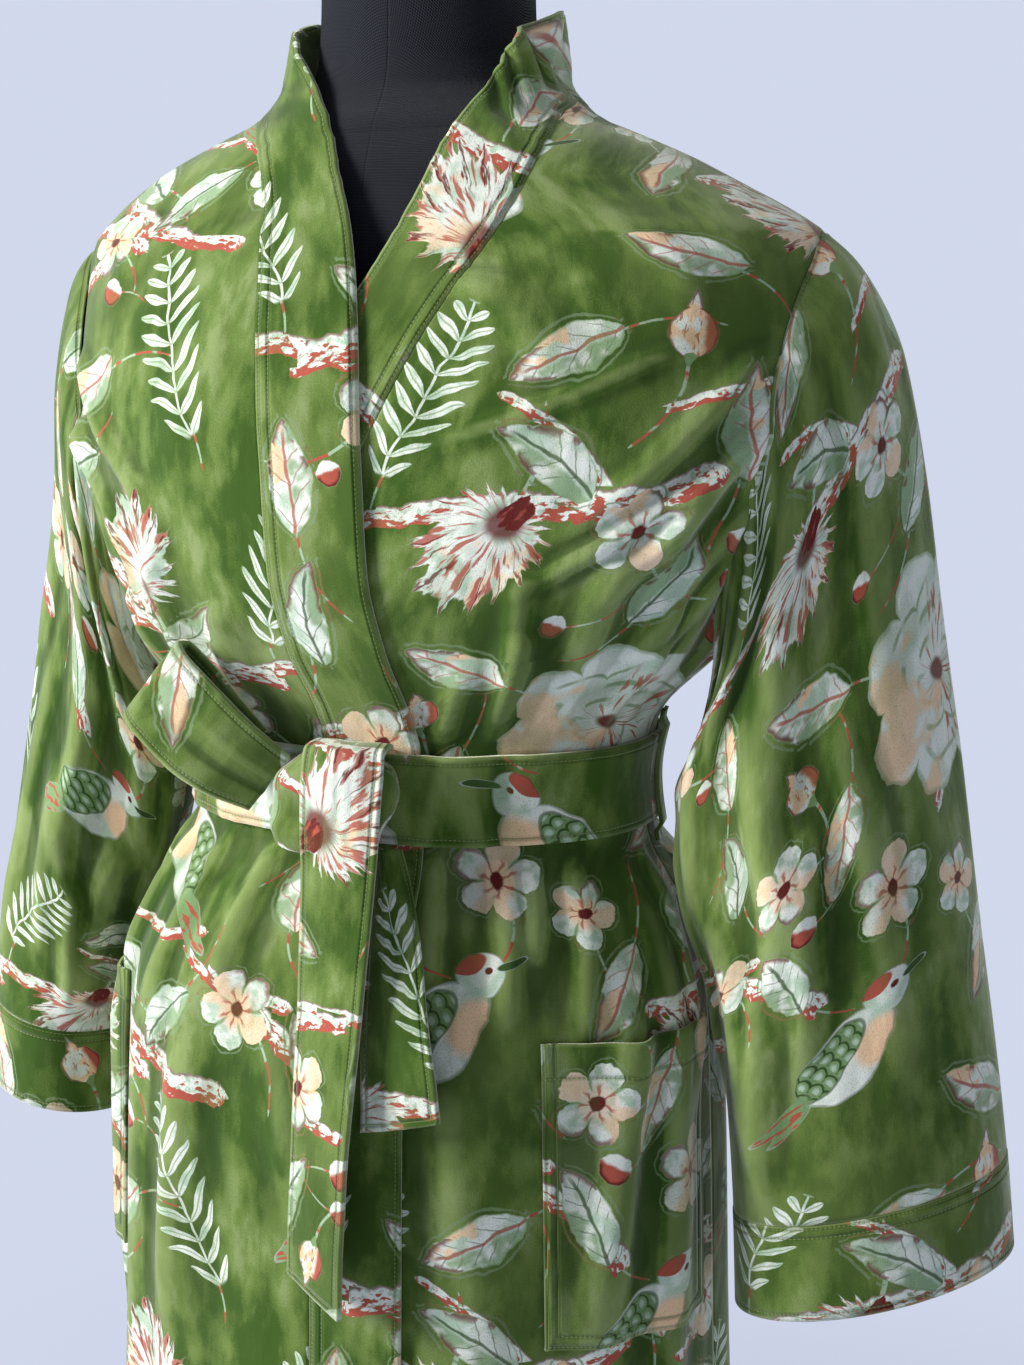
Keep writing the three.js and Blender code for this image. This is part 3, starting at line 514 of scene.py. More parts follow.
def sleeve_point(name, turn, t):
    sign = 1 if name == "left" else -1
    tab = SLEEVES[name]
    row = {c: read(tab, "t", c, t) for c in tab if c != "t"}
    c, s = cos(turn), sin(turn)
    swell = 0
    for folds, breadth, depth in ((SLEEVE_FOLDS, 1, 1), (SLEEVE_CREASES, CREASE_BREADTH, CREASE_DEPTH)):
        for a, at, b, bt, wide, high in zip(*folds.values()):
            along = (t - at) / (bt - at)
            middle = a + (b - a) * along
            off = turn_between(turn, middle) * SLEEVE_DEGREE_MM / (wide * breadth)
            fade = smooth(along, 0, 0.15) * (1 - smooth(along, 0.65, 1))
            inside = (along > 0) & (along < 1)
            swell = swell + np.where(inside, high * depth * fade * np.exp(-off * off), 0)
    outer = np.stack([sign * row["outX"], row["outY"], row["outZ"]], -1)
    inner = np.stack([sign * row["inX"], row["inY"], row["inZ"]], -1)
    half = (outer - inner) / 2
    reach = 1 + swell / np.linalg.norm(half, axis=-1)
    hanging = (outer + inner) / 2 + half * (c * reach)[..., None]
    hanging[..., 1] -= (row["deep"] + swell) * s
    z = armhole_height(turn)
    arm = armhole_angle(z) * np.sign(s) * ARM_LAP
    sewn = body_point(arm if sign > 0 else 180 - arm, z, CLOTH + 0.1)
    free = np.minimum(1, t / 0.2)
    free = (free * (2 - free))[..., None]
    return sewn * (1 - free) + hanging * free


# Meshes
PIECES = {}


def arc(points, axis):
    """Length along the rows or columns of a grid of points."""
    steps = np.linalg.norm(np.diff(points, axis=axis), axis=-1)
    start = np.zeros_like(np.take(steps, [0], axis))
    return np.concatenate([start, np.cumsum(steps, axis)], axis)


def corner_values(values):
    """The four corners' values of every quad of a grid."""
    return np.stack([values[:-1, :-1], values[1:, :-1], values[1:, 1:], values[:-1, 1:]], 2).reshape(
        -1, 4, *values.shape[2:]
    )


def spread(grid, axis, closed, reach):
    """Every point's mean with its neighbours along the rows or columns."""
    total = np.zeros_like(grid)
    last = grid.shape[axis] - 1
    for step in range(-reach, reach + 1):
        place = np.arange(last + 1) + step
        place = place % last if closed and axis == 1 else np.clip(place, 0, last)
        total += np.take(grid, place, axis)
    return total / (2 * reach + 1)


def relief(grid, closed):
    """How far each point stands above the cloth round it: ridges above 0, troughs below."""
    slack = grid - spread(spread(grid, 1, closed, 5), 0, closed, 2)
    facing = np.cross(np.gradient(grid, axis=0), np.gradient(grid, axis=1))
    facing /= np.maximum(np.linalg.norm(facing, axis=-1, keepdims=True), 1e-9)
    middle = grid.mean(1, keepdims=True) if closed else grid * (0, 0, 1)
    outward = ((grid - middle) * facing).sum(-1)
    return (slack * facing).sum(-1) * np.sign(np.median(outward))


def add_sheet(name, grid, thick, cut=None, closed=False, sewn=None, extra=None):
    """A sheet of cloth from a grid of points, with its place on the flat cloth and its sewn edges."""
    rows, columns = grid.shape[:2]
    if cut is None:
        cut = np.stack([arc(grid, 1), -arc(grid, 0)], -1)
        cut[..., 0] -= cut[:, columns // 2 : columns // 2 + 1, 0]
    around = columns - 1 if closed else columns
    index = np.arange(rows)[:, None] * around + (np.arange(columns) % around)[None, :]
    quads = corner_values(index)
    mesh = bpy.data.meshes.new(f"cloth_{name}")
    mesh.from_pydata((grid[:, :around].reshape(-1, 3) / 1000).tolist(), [], quads.tolist())
    obj = bpy.data.objects.new(f"cloth_{name}", mesh)
    bpy.context.collection.objects.link(obj)
    mesh.polygons.foreach_set("use_smooth", np.ones(len(mesh.polygons), bool))
    flat = corner_values(cut)
    # Each corner's relief goes with its flat place; the velvet paints light on the ridges and shade in the
    # troughs from it
    raised = corner_values(relief(grid, closed))[..., None]
    values = {"cloth": np.concatenate([flat, raised], -1)}
    if sewn is None:
        sewn = np.full((rows, columns, 3), NOT_SEWN)
    values["sewn"] = corner_values(sewn)
    values.update(extra(flat) if extra else {})
    for key, value in values.items():
        attribute = mesh.attributes.new(key, "FLOAT_VECTOR", "CORNER")
        attribute.data.foreach_set("vector", np.ascontiguousarray(value, np.float32).ravel())
    wall = obj.modifiers.new("cloth wall", "SOLIDIFY")
    wall.thickness = thick / 1000
    wall.offset = 0
    area = np.linalg.norm(np.cross(grid[1:, :-1] - grid[:-1, :-1], grid[:-1, 1:] - grid[:-1, :-1]), axis=-1)
    size = np.ptp(cut[..., 0]), np.ptp(cut[..., 1])
    PIECES[name] = {"obj": obj, "flat": (size[0] / 1000, size[1] / 1000), "area": area.sum() / 1e6}
    return obj


def edge_distance(cut, edges):
    """Distances along the cloth from the left, right, top and bottom edges, as two columns."""
    left = cut[..., 0] - cut[:, :1, 0]
    right = cut[:, -1:, 0] - cut[..., 0]
    top = cut[:1, :, 1] - cut[..., 1]
    bottom = cut[..., 1] - cut[-1:, :, 1]
    sides = {"left": left, "right": right, "top": top, "bottom": bottom}
    first = np.full(cut.shape[:2], NOT_SEWN)
    second = np.full(cut.shape[:2], NOT_SEWN)
    run = cut[..., 1].copy()
    for edge in edges[0]:
        if edge in ("top", "bottom"):
            run = np.where(sides[edge] < first, cut[..., 0], run)
        first = np.minimum(first, sides[edge])
    for edge in edges[1]:
        if edge in ("top", "bottom"):
            run = np.where(sides[edge] < second, cut[..., 0], run)
        second = np.minimum(second, sides[edge])
    return np.stack([first, second, run], -1)


STEP = 5.5  # spacing of the panels' rows below the neck
SLEEVE_COLUMNS = 151
BELT_END_COLUMNS = 29
SHOULDER = np.arange(NECK_Z, TIP_Z, -STEP)
ARMHOLE = armhole_height(np.arange(0, 180.1, 2.6))
SKIRT = np.linspace(UNDERARM_Z - STEP, HEM_Z, 152)
PANEL_Z = np.concatenate([SHOULDER, ARMHOLE, SKIRT])


def make_panel(name, columns, grain, start):
    z, across = np.meshgrid(PANEL_Z, np.linspace(0, 1, columns), indexing="ij")
    grid = panel_point(name, across, z)
    begin, end = panel_ends(name, z)
    angle = begin + (end - begin) * across
    length = arc(grid, 1)
    middle = np.array([np.interp(grain, angle[i], length[i]) for i in range(len(PANEL_Z))])
    down = arc(grid[:, columns // 2 : columns // 2 + 1], 0)
    cut = np.stack([length - middle[:, None] + start[0], start[1] - down + 0 * length], -1)
    sewn = edge_distance(cut, (("left", "right"), ("top",)))
    return add_sheet(name, grid, CLOTH, cut, sewn=sewn, extra=printed)


def band_rows(which):
    """Seam and edge of a neckband, as angles and heights, from the back of the neck to the hem."""
    sign = 1 if which == "left" else -1
    rows = BANDS[which]
    collar = np.array([-89.6, -68, -46, -24, -6])
    collar = collar if which == "left" else 180 - collar
    seam = [(a, NECK_Z - 0.4) for a in collar]
    edge = [(a, COLLAR_TOP) for a in collar]
    low = rows["seamZ"][-1]
    heights = np.concatenate([np.arange(NECK_Z, low, -9.0), np.linspace(low, HEM_Z, 90)])
    for z in heights:
        seam_x = front_x(which, "seamX", z)
        seam.append((angle_at_x(seam_x, z) + sign * seam_angle(z), z + 0.8 * smooth(z, 1366, 1384)))
        if z > low:
            edge_x, edge_z = read(rows, "seamZ", "edgeX", z), read(rows, "seamZ", "edgeZ", z)
        else:
            edge_x, edge_z = front_x(which, "edgeX", z), z
        edge.append((angle_at_x(edge_x, edge_z), edge_z))
    seam, edge = np.array(seam, float), np.array(edge, float)
    place = np.arange(len(seam))
    fine = np.concatenate([np.arange(0, 14, 0.125), np.arange(14, len(seam) - 0.99, 0.5)])
    return [np.interp(fine, place, rows_[:, k]) for rows_ in (seam, edge) for k in (0, 1)]


# Crumples of the standing neckband: place from the back of the neck, height and width
BAND_CRUMPLES = {
    "left": table(
        "at up wide high slant",
        (124, 0.5, 7, 3.2, 0.4),
        (141, 0.7, 7, 5.4, 0.5),
        (157, 0.7, 7, 6.2, 0.6),
        (175, 0.6, 8, 5.6, 0.7),
        (196, 0.6, 8, 4.2, 0.6),
        (221, 0.5, 9, 2.8, 0.5),
        (60, 0.5, 12, 1.6, 0),
    ),
    "right": table(
        "at up wide high slant",
        (118, 0.6, 9, 2.0, 0.4),
        (152, 0.8, 9, 2.4, 0.4),
        (178, 0.6, 10, 1.8, 0.3),
        (40, 0.5, 12, 1.4, 0),
    ),
}


def make_neckband(which):
    seam_angle_, seam_z, edge_angle, edge_z = band_rows(which)
    u = np.linspace(0, 1, 13)[None, :]
    angle = seam_angle_[:, None] + (edge_angle - seam_angle_)[:, None] * u
    z = seam_z[:, None] + (edge_z - seam_z)[:, None] * u
    raised = np.where(angle < 170, lift(angle, z), 0) if which == "right" else 0
    flat = body_point(angle, z, raised)
    along = arc(flat[:, :1], 0)
    rumple = 0
    for at, up, wide, high, slant in zip(*BAND_CRUMPLES[which].values()):
        off = (along - at + slant * (u - up) * BAND_WIDTH) / wide
        rumple = rumple + high * np.exp(-off * off) * smooth(u, 0.08, 0.5)
    grid = body_point(angle, z, raised + np.maximum(rumple, -1.2))
    width = arc(grid, 1)
    cut = np.stack([width, -along + 0 * width], -1)
    sewn = np.stack([width, width[:, -1:] - width, -along + 0 * width], -1)
    if which == "left":
        grid, cut, sewn = (v[:, ::-1] for v in (grid, cut, sewn))
    cut = cut + np.array(BAND_CUT[which])
    return add_sheet(f"neckband_{which}", grid, BAND, cut, sewn=sewn, extra=printed)


def make_tube(name, which, start, end, rows, thick, drop=0.0):
    """A length of sleeve or cuff, closed along the seam under the arm."""
    around = np.linspace(-180, 180, SLEEVE_COLUMNS)
    t, turn = np.meshgrid(np.linspace(start, end, rows), around, indexing="ij")
    turn = turn if which == "left" else -turn
    grid = sleeve_point(which, turn, t)
    grid[..., 2] -= drop
    width, length = arc(grid, 1), arc(grid, 0)
    middle = slice(SLEEVE_COLUMNS // 2, SLEEVE_COLUMNS // 2 + 1)
    top = length[:, middle] + 0 * width
    below = length[-1:, middle] - length[:, middle] + 0 * width
    cut = np.stack([width - width[:, middle], -top], -1)
    sewn = np.stack([top, below, cut[..., 0]], -1)
    cut = cut + np.array(SLEEVE_CUT[name])
    return add_sheet(name, grid, thick, cut, closed=True, sewn=sewn, extra=printed)


def make_pocket(name, panel, first, last, columns):
    rows, across = np.linspace(POCKET_TOP, POCKET_FOOT, 36), np.linspace(first, last, 30)
    z, place = np.meshgrid(rows, across, indexing="ij")
    down = (POCKET_TOP - z) / (POCKET_TOP - POCKET_FOOT)
    gape = POCKET_GAPE * np.sin(np.pi * (place - first) / (last - first)) * (1 - smooth(down, 0, 0.45))
    grid = panel_point(panel, place / columns, z, CLOTH + LAYER + gape)
    cut = np.stack([arc(grid, 1), -arc(grid, 0)], -1)
    sewn = edge_distance(cut, (("left", "right", "bottom"), ("top",)))
    return add_sheet(name, grid, CLOTH, cut + np.array(POCKET_CUT[name]), sewn=sewn, extra=printed)


def make_belt():
    rows, around = np.linspace(0.5, -0.5, 12) * BELT_HEIGHT, np.linspace(0, 360, 201)
    up, angle = np.meshgrid(rows, around, indexing="ij")
    ruck = 0
    for at, wide, slant, high in zip(*BELT_CREASES.values()):
        off = (turn_between(angle, at) + slant * up) * BELT_DEGREE_MM / wide
        ruck = ruck + high * np.exp(-off * off)
    grid = body_point(angle, WAIST_Z + up, belt_seat(angle) + ruck)
    cut = np.stack([arc(grid, 1), up], -1)
    sewn = np.stack([BELT_HEIGHT / 2 - up, BELT_HEIGHT / 2 + up, cut[..., 0]], -1)
    cut = cut + np.array(BELT_CUT["belt"])
    return add_sheet("belt", grid, BELT, cut, closed=True, sewn=sewn, extra=printed)


def strip_grid(tab, rows, columns):
    """A strip of cloth along a path of middles, wide across it."""
    place = np.arange(len(tab["x"]), dtype=float)
    fine = np.linspace(0, place[-1], rows)
    path = {"n": place, **tab}
    row = {c: read(path, "n", c, fine)[:, None] for c in tab}
    u = np.linspace(-1, 1, columns)[None, :]
    bow = row["bow"] * (1 - u * u)
    x = row["x"] + row["half"] * u * cos(row["turn"])
    y = row["y"] - row["half"] * u * sin(row["turn"]) - bow
    z = row["z"] + row["half"] * u * np.tan(np.radians(row["tilt"]))
    return np.stack(np.broadcast_arrays(x, y, z), -1), fine, u


def gathers(u, place, first, last):
    """Creases that fan out from the knot along a belt end and fade on the way."""
    fan = 0.5 + 0.5 * smooth(place, first, last)
    total = 0
    for at, high in ((-0.66, 1.8), (-0.2, 3.0), (0.26, 2.4), (0.72, 1.6)):
        total = total + high * np.exp(-(((u - at * fan) / 0.15) ** 2))
    return total * smooth(place, first - 1, first) * (1 - smooth(place, first + 0.5, last))


def make_belt_end(name, tab, rows):
    grid, fine, u = strip_grid(tab, rows, BELT_END_COLUMNS)
    wave = 1.1 * np.sin(fine[:, None] * 1.7 + 1.4 * u) * smooth(fine[:, None], 1, 4)
    start, end = GATHERED[name]
    grid[..., 1] -= np.abs(wave) * 0.8 + gathers(u, fine[:, None], start, end)
    width = (u + 1) * BELT_HEIGHT / 2 + 0 * fine[:, None]
    middle = slice(BELT_END_COLUMNS // 2, BELT_END_COLUMNS // 2 + 1)
    along = arc(grid[:, middle], 0) + 0 * width
    cut = np.stack([width, -along], -1)
    far_edges = np.minimum(BELT_HEIGHT - width, along[-1:] - along)
    sewn = np.stack([width, far_edges, -along], -1)
    return add_sheet(name, grid, BELT, cut + np.array(BELT_CUT[name]), sewn=sewn, extra=printed)


def make_bow():
    place = np.arange(len(LOOP["x"]), dtype=float)
    fine = np.linspace(0, place[-1], 90)
    path = {"n": place, **LOOP}
    row = {c: read(path, "n", c, fine)[:, None] for c in LOOP}
    u = np.linspace(-1, 1, 20)[None, :]
    x = row["x"] + u * row["high"] * LOOP_LEAN
    z = row["z"] + u * row["high"] * 0.86
    crease = 1.6 * np.exp(-((u - 0.25) / 0.16) ** 2) - 1.3 * np.exp(-((u + 0.3) / 0.14) ** 2)
    pinch = 1 - smooth(fine[:, None], 0, 3.4)
    y = row["y"] - crease * (0.35 + pinch)
    grid = np.stack(np.broadcast_arrays(x, y, z), -1)
    along = arc(grid[:, 10:11], 0)
    width = (u + 1) * BELT_HEIGHT / 2 + 0 * fine[:, None]
    cut = np.stack([-along + 0 * width, width], -1)
    sewn = np.stack([width, BELT_HEIGHT - width, -along + 0 * width], -1)
    cut = cut + np.array(BELT_CUT["belt_bow"])
    return add_sheet("belt_bow", grid, BELT, cut, sewn=sewn, extra=printed)


def make_knot():
    """The knot's wrap: a soft lump of cloth with creases that run round it."""
    around, levels = 97, 49
    up, a = np.meshgrid(np.linspace(-88, 88, levels), np.linspace(0, 360, around), indexing="ij")
    reach = power(cos(up), 0.7)
    z = KNOT["z"] + KNOT["high"] * power(sin(up), 0.8)
    crease = 2.4 * sin(5 * up + 50 * sin(a)) + 1.2 * sin(9 * up + 80 * cos(a))
    crease = crease * smooth(reach, 0.2, 0.7)
    lean = KNOT["lean"] * (z - KNOT["z"])
    x = KNOT["x"] + (KNOT["wide"] * reach + 0.6 * crease) * power(cos(a), 0.8) + lean
    y = KNOT["y"] + (KNOT["deep"] * reach + np.minimum(crease, 1.4)) * power(sin(a), 0.8)
    grid = np.stack([x, y, z], -1)
    cut = np.stack([a * 0.62, z - KNOT["z"]], -1) + np.array(BELT_CUT["belt_knot"])
    obj = add_sheet("belt_knot", grid[::-1], 1.6, cut[::-1], closed=True, extra=printed)
    obj.modifiers["cloth wall"].offset = -1
    return obj


def make_belt_loop(name, angle):
    outside = belt_seat(np.array(float(angle))) + BELT / 2 + LAYER + CLOTH / 2
    foot = CLOTH + 0.9
    up = np.array([40, 34, 29, 20, 0, -20, -29, -34, -40], float)
    out = np.array([foot, foot + 1.4, outside, outside, outside, outside, outside, foot + 1.4, foot], float)
    fine = np.linspace(0, 8, 41)
    up, out = (np.interp(fine, np.arange(9), v)[:, None] for v in (up, out))
    side = np.linspace(-3.2, 3.2, 7)[None, :]
    grid = body_point(angle + side + 0 * up, WAIST_Z + up + 0 * side, out + 0 * side)
    return add_sheet(name, grid, CLOTH, extra=printed)


def close_middle(obj):
    """Fills the small round hole in the middle of a round cap."""
    mesh = bmesh.new()
    mesh.from_mesh(obj.data)
    rim = [e for e in mesh.edges if e.is_boundary and math.hypot(*e.verts[0].co[:2]) < 0.01]
    bmesh.ops.edgeloop_fill(mesh, edges=rim)
    mesh.to_mesh(obj.data)
    mesh.free()


def form_rings(rings, row, turn):
    """Rings in the form's outline at one end, each at a share of its size and a height."""
    grid = []
    for share, height in rings:
        side, front, back = (share * FORM[c][row] for c in ("side", "front", "back"))
        deep = np.where(sin(turn) < 0, front, back)
        grid.append(np.stack([side * cos(turn), deep * sin(turn), height + 0 * turn], -1))
    return np.array(grid)


def make_form():
    """The padded torso in jersey, with its neck and the flat cap on top."""
    low, top = FORM["z"][0], FORM["z"][-1]
    heights = [
        np.linspace(low, low + FORM_ROUNDING, 8),
        np.linspace(low + FORM_ROUNDING + 8, FORM_SHOULDER, 70),
        np.linspace(FORM_SHOULDER + 3, top, 76),
    ]
    around = np.linspace(0, 360, 121)
    z, turn = np.meshgrid(np.concatenate(heights), around, indexing="ij")
    row = {c: read(FORM, "z", c, z) for c in FORM}
    deep = np.where(sin(turn) < 0, row["front"], row["back"])
    grid = np.stack([row["side"] * cos(turn), deep * sin(turn), z], -1)
    neck_seam = FORM_NECK_SEAM + FORM_SEAM_SLOPE * sin(turn)
    near = np.abs(z - neck_seam)
    dip = 0.7 * np.exp(-((near / 1.6) ** 2))
    grid[..., :2] *= 1 - (dip / np.maximum(row["side"], 1))[..., None]
    cut = np.stack([arc(grid, 1), arc(grid, 0)], -1)
    front = np.abs(grid[..., 0]) + 500 * (sin(turn) > 0)
    sewn = np.stack([near, front, cut[..., 0]], -1)
    obj = add_sheet("form_cover", grid[::-1], 1.2, cut[::-1], closed=True, sewn=sewn[::-1])
    obj.modifiers["cloth wall"].offset = -1
    rim = [(1, top), (1, top + 3.5), (0.985, top + 5.6), (0.95, top + 6.7), (0.5, top + 7), (0.02, top + 7)]
    cap = add_sheet("form_cap", form_rings(rim[::-1], -1, around), 1.0, closed=True)
    foot = [(share, low) for share in (1, 0.9, 0.6, 0.2, 0.02)]
    under = add_sheet("form_underside", form_rings(foot, 0, around), 1.0, closed=True)
    for end in (cap, under):
        end.modifiers["cloth wall"].offset = -1
        close_middle(end)
    return obj, cap, under


# The print's chart: one repeat. Each motif has a middle, a turn and a half length.
TILE = np.array([440.0, 548.0])
DRAWN = np.array([520.0, 640.0])  # the size the chart is drawn at
# Kinds of motif, by the number that the faces carry, and each kind's breadth as a share of its length
KINDS = ["none", "blossom", "leaf", "feathered", "full bloom", "fern", "hip", "berry", "bird"]
BREADTH = {
    "blossom": 1.0,
    "leaf": 0.46,
    "feathered": 0.98,
    "full bloom": 0.95,
    "fern": 0.5,
    "hip": 0.85,
    "berry": 1.0,
    "bird": 0.62,
}
CHART = [
    ("full bloom", 300, 330, 10, 72),
    ("feathered", 118, 585, 70, 48),
    ("feathered", 452, 428, -60, 48),
    ("feathered", 236, 70, 40, 48),
    ("bird", 132, 322, 28, 77),
    ("bird", 418, 92, 158, 73),
    ("blossom", 214, 492, 12, 27),
    ("blossom", 62, 438, 40, 24),
    ("blossom", 392, 214, 70, 28),
    ("blossom", 486, 286, 5, 26),
    ("blossom", 26, 232, 33, 27),
    ("blossom", 345, 476, 55, 26),
    ("blossom", 140, 172, 20, 28),
    ("blossom", 318, 168, 80, 22),
    ("leaf", 204, 402, 60, 34),
    ("leaf", 388, 344, 20, 36),
    ("leaf", 256, 252, -35, 35),
    ("leaf", 300, 420, 120, 31),
    ("leaf", 374, 285, -70, 32),
    ("leaf", 60, 520, 150, 32),
    ("leaf", 176, 628, -20, 32),
    ("leaf", 284, 548, 80, 35),
    ("leaf", 412, 508, 35, 34),
    ("leaf", 512, 372, 95, 32),
    ("leaf", 20, 300, 80, 31),
    ("leaf", 196, 236, 15, 34),
    ("leaf", 300, 112, -60, 32),
    ("leaf", 168, 30, -30, 34),
    ("leaf", 486, 196, 60, 32),
    ("leaf", 330, 20, 25, 34),
    ("leaf", 86, 230, -45, 31),
    ("leaf", 402, 574, -25, 34),
    ("leaf", 246, 172, 100, 30),
    ("fern", 66, 78, 62, 63),
    ("fern", 490, 566, 112, 56),
    ("hip", 338, 606, 95, 26),
    ("hip", 226, 344, 250, 22),
    ("hip", 446, 318, 60, 23),
    ("berry", 268, 464, 0, 10),
    ("berry", 256, 442, 0, 8),
    ("berry", 128, 118, 0, 10),
    ("berry", 436, 250, 0, 10),
    ("berry", 24, 400, 0, 8),
    ("berry", 376, 408, 0, 8),
]
# Branches: start, heading, length, how much they curl over their length, and widths
BRANCHES = [
    (8, 468, 14, 164, 24, 8.7, 7.5),
    (118, 522, 34, 120, -30, 7.5, 5.3),
    (118, 520, -22, 117, 20, 6.3, 4.3),
    (196, 566, 12, 125, -34, 5.3, 3.2),
    (300, 512, -22, 104, 26, 7.5, 8.5),
    (364, 492, 4, 172, -22, 8.5, 5.8),
    (364, 492, 62, 91, -40, 5.3, 3.0),
    (30, 150, 4, 122, 26, 8.1, 8.5),
    (116, 148, 34, 86, -46, 7.5, 5.0),
    (166, 130, -30, 96, 30, 7.1, 5.5),
    (330, 232, 118, 83, 30, 5.8, 3.8),
    (448, 148, 52, 125, -30, 8.1, 5.8),
    (502, 220, 2, 86, 30, 5.5, 3.5),
    (66, 262, -16, 99, 28, 5.0, 3.0),
    (186, 300, -62, 86, 24, 5.5, 4.0),
]
# Stems that leave a motif: kind, where along it they start, turn from it, length, curl and half width
SPRIGS = {
    "leaf": (-0.96, 180, 46, 44, 1.0),
    "blossom": (-0.6, 186, 52, -60, 1.1),
    "feathered": (-0.6, 180, 58, 40, 1.8),
    "full bloom": (-0.8, 172, 60, -34, 2.2),
    "hip": (-0.85, 180, 44, 50, 1.2),
    "berry": (-0.8, 174, 30, -40, 0.8),
    "fern": (-0.94, 180, 26, 30, 1.0),
}


def discs(kind, size):
    """A motif as a few discs along its length: their places and radii."""
    thick = BREADTH[kind] * size
    if BREADTH[kind] > 0.8:
        return [(0.0, size)]
    return [(place * (size - thick * 0.6), thick * 0.92) for place in (-1, -0.33, 0.33, 1)]


def to_nearest_repeat(away):
    """A way between two places of the print, by the shortest course from repeat to repeat."""
    return (away + TILE / 2) % TILE - TILE / 2


def eased_chart():
    """The chart at the repeat's own size, with motifs that lie too close pushed apart."""
    kinds = [row[0] for row in CHART]
    places = np.array([row[1:3] for row in CHART]) * TILE / DRAWN
    turns = np.array([row[3] for row in CHART], float)
    sizes = [row[4] for row in CHART]
    owner, along, radius = [], [], []
    for number, (kind, size) in enumerate(zip(kinds, sizes)):
        for place, reach in discs(kind, size):
            owner.append(number)
            along.append(place)
            radius.append(reach)
    owner, along, radius = np.array(owner), np.array(along), np.array(radius)
    heading = np.stack([cos(turns), sin(turns)], -1)[owner]
    clear = radius[:, None] + radius[None, :] + 4
    other = owner[:, None] != owner[None, :]
    for _ in range(240):
        middle = places[owner] + along[:, None] * heading
        away = middle[:, None] - middle[None, :]
        away = to_nearest_repeat(away)
        gap = np.maximum(np.linalg.norm(away, axis=-1), 0.1)
        push = np.where(other, np.maximum(clear - gap, 0), 0) * 0.22 / gap
        step = (push[..., None] * away).sum(1)
        for axis in (0, 1):
            places[:, axis] += np.clip(np.bincount(owner, step[:, axis]), -3, 3)
    return [(kind, *place, turn, size) for kind, place, turn, size in zip(kinds, places, turns, sizes)]


EASED = eased_chart()
STEMS = [(x * TILE[0] / DRAWN[0], y * TILE[1] / DRAWN[1], *rest) for x, y, *rest in BRANCHES]
for number, (kind, x, y, turn, size) in enumerate(EASED):
    if kind in SPRIGS:
        along, swing, length, curl, half = SPRIGS[kind]
        bend = curl * (1 if number % 2 else -1)
        start = (x + along * size * cos(turn), y + along * size * sin(turn))
        STEMS.append((*start, turn + swing, length * (0.8 + 0.13 * (number % 4)), bend, half, half * 0.7))


# How far past a motif's or a stem's outline its faces still carry it
MOTIF_MARGIN = 14
STEM_MARGIN = 9


def along_heading(degrees):
    return np.array((cos(degrees), sin(degrees)))


def beside_stem(points, heading, bend):
    """Distance of points to the side of a curved stem and along it, from its start."""
    ahead, across = along_heading(heading), along_heading(heading + 90)
    if abs(bend) < 1e-6:
        return points @ across, points @ ahead
    radius = 1 / bend
    hub = across * radius
    spoke = points - hub
    side = radius - np.sign(radius) * np.linalg.norm(spoke, axis=-1)
    swing = np.arctan2(spoke[..., 1], spoke[..., 0]) - math.atan2(-hub[1], -hub[0])
    swing = (swing + math.pi) % (2 * math.pi) - math.pi
    return side, swing * radius


def stem_width(along, length, wide, thin):
    """A stem's half width at a place along it, and how far the place is beyond its ends."""
    width = wide + (thin - wide) * np.clip(along / length, 0, 1)
    return width, np.maximum(np.maximum(-along, along - length), 0)


def printed(flat):
    """Which motif and which stem lie on every face of a piece, and where on them its corners are."""
    middle = flat.mean(1)
    count = len(flat)
    best = np.full(count, 1e9)
    motif = np.zeros((count, 4, 3))
    look = np.zeros((count, 4, 3))
    for number, (kind, x, y, turn, size) in enumerate(EASED):
        away = middle - (x, y)
        shift = away - to_nearest_repeat(away)
        repeat = np.round(shift / TILE)
        wobble = sin(repeat[:, 0] * 97 + repeat[:, 1] * 61 + number * 29) * 4
        c, s = cos(turn + wobble), sin(turn + wobble)
        near = away - shift
        local = np.stack([near[:, 0] * c + near[:, 1] * s, near[:, 1] * c - near[:, 0] * s], -1) / size
        reach = np.hypot(local[:, 0], local[:, 1] / BREADTH[kind])
        gap = (reach - 1) * size * BREADTH[kind]
        take = (gap < best) & (gap < MOTIF_MARGIN)
        best[take] = gap[take]
        corner = flat[take] - (x, y) - shift[take][:, None]
        ct, st = c[take][:, None], s[take][:, None]
        motif[take, :, 0] = (corner[..., 0] * ct + corner[..., 1] * st) / size
        motif[take, :, 1] = (corner[..., 1] * ct - corner[..., 0] * st) / size
        if kind == "bird" and cos(turn) < 0:
            motif[take, :, 1] *= -1
        motif[take, :, 2] = KINDS.index(kind)
        look[take, :, 0] = (number * 0.37 + 0.13 * repeat[take][:, :1]) % 1
    best = np.full(count, 1e9)
    stem = np.full((count, 4, 3), 0.0)
    stem[..., 0] = 99
    for x, y, heading, length, curl, wide, thin in STEMS:
        bend = math.radians(curl) / length
        start = np.array((x, y), float)
        centre = start + along_heading(heading + curl / 2) * length / 2
        away = middle - centre
        shift = away - to_nearest_repeat(away)
        side, along = beside_stem(middle - shift - start, heading, bend)
        width, beyond = stem_width(along, length, wide, thin)
        gap = np.hypot(np.maximum(np.abs(side) - width, 0), beyond)
        take = (gap < best) & (gap < STEM_MARGIN)
        best[take] = gap[take]
        side, along = beside_stem(flat[take] - shift[take][:, None] - start, heading, bend)
        width, beyond = stem_width(along, length, wide, thin)
        stem[take, :, 0] = side
        stem[take, :, 1] = along
        stem[take, :, 2] = width * np.sqrt(np.clip(1 - (beyond / max(wide, 2.0)) ** 2, 0, 1))
    return {"motif": motif, "look": look, "stem": stem}


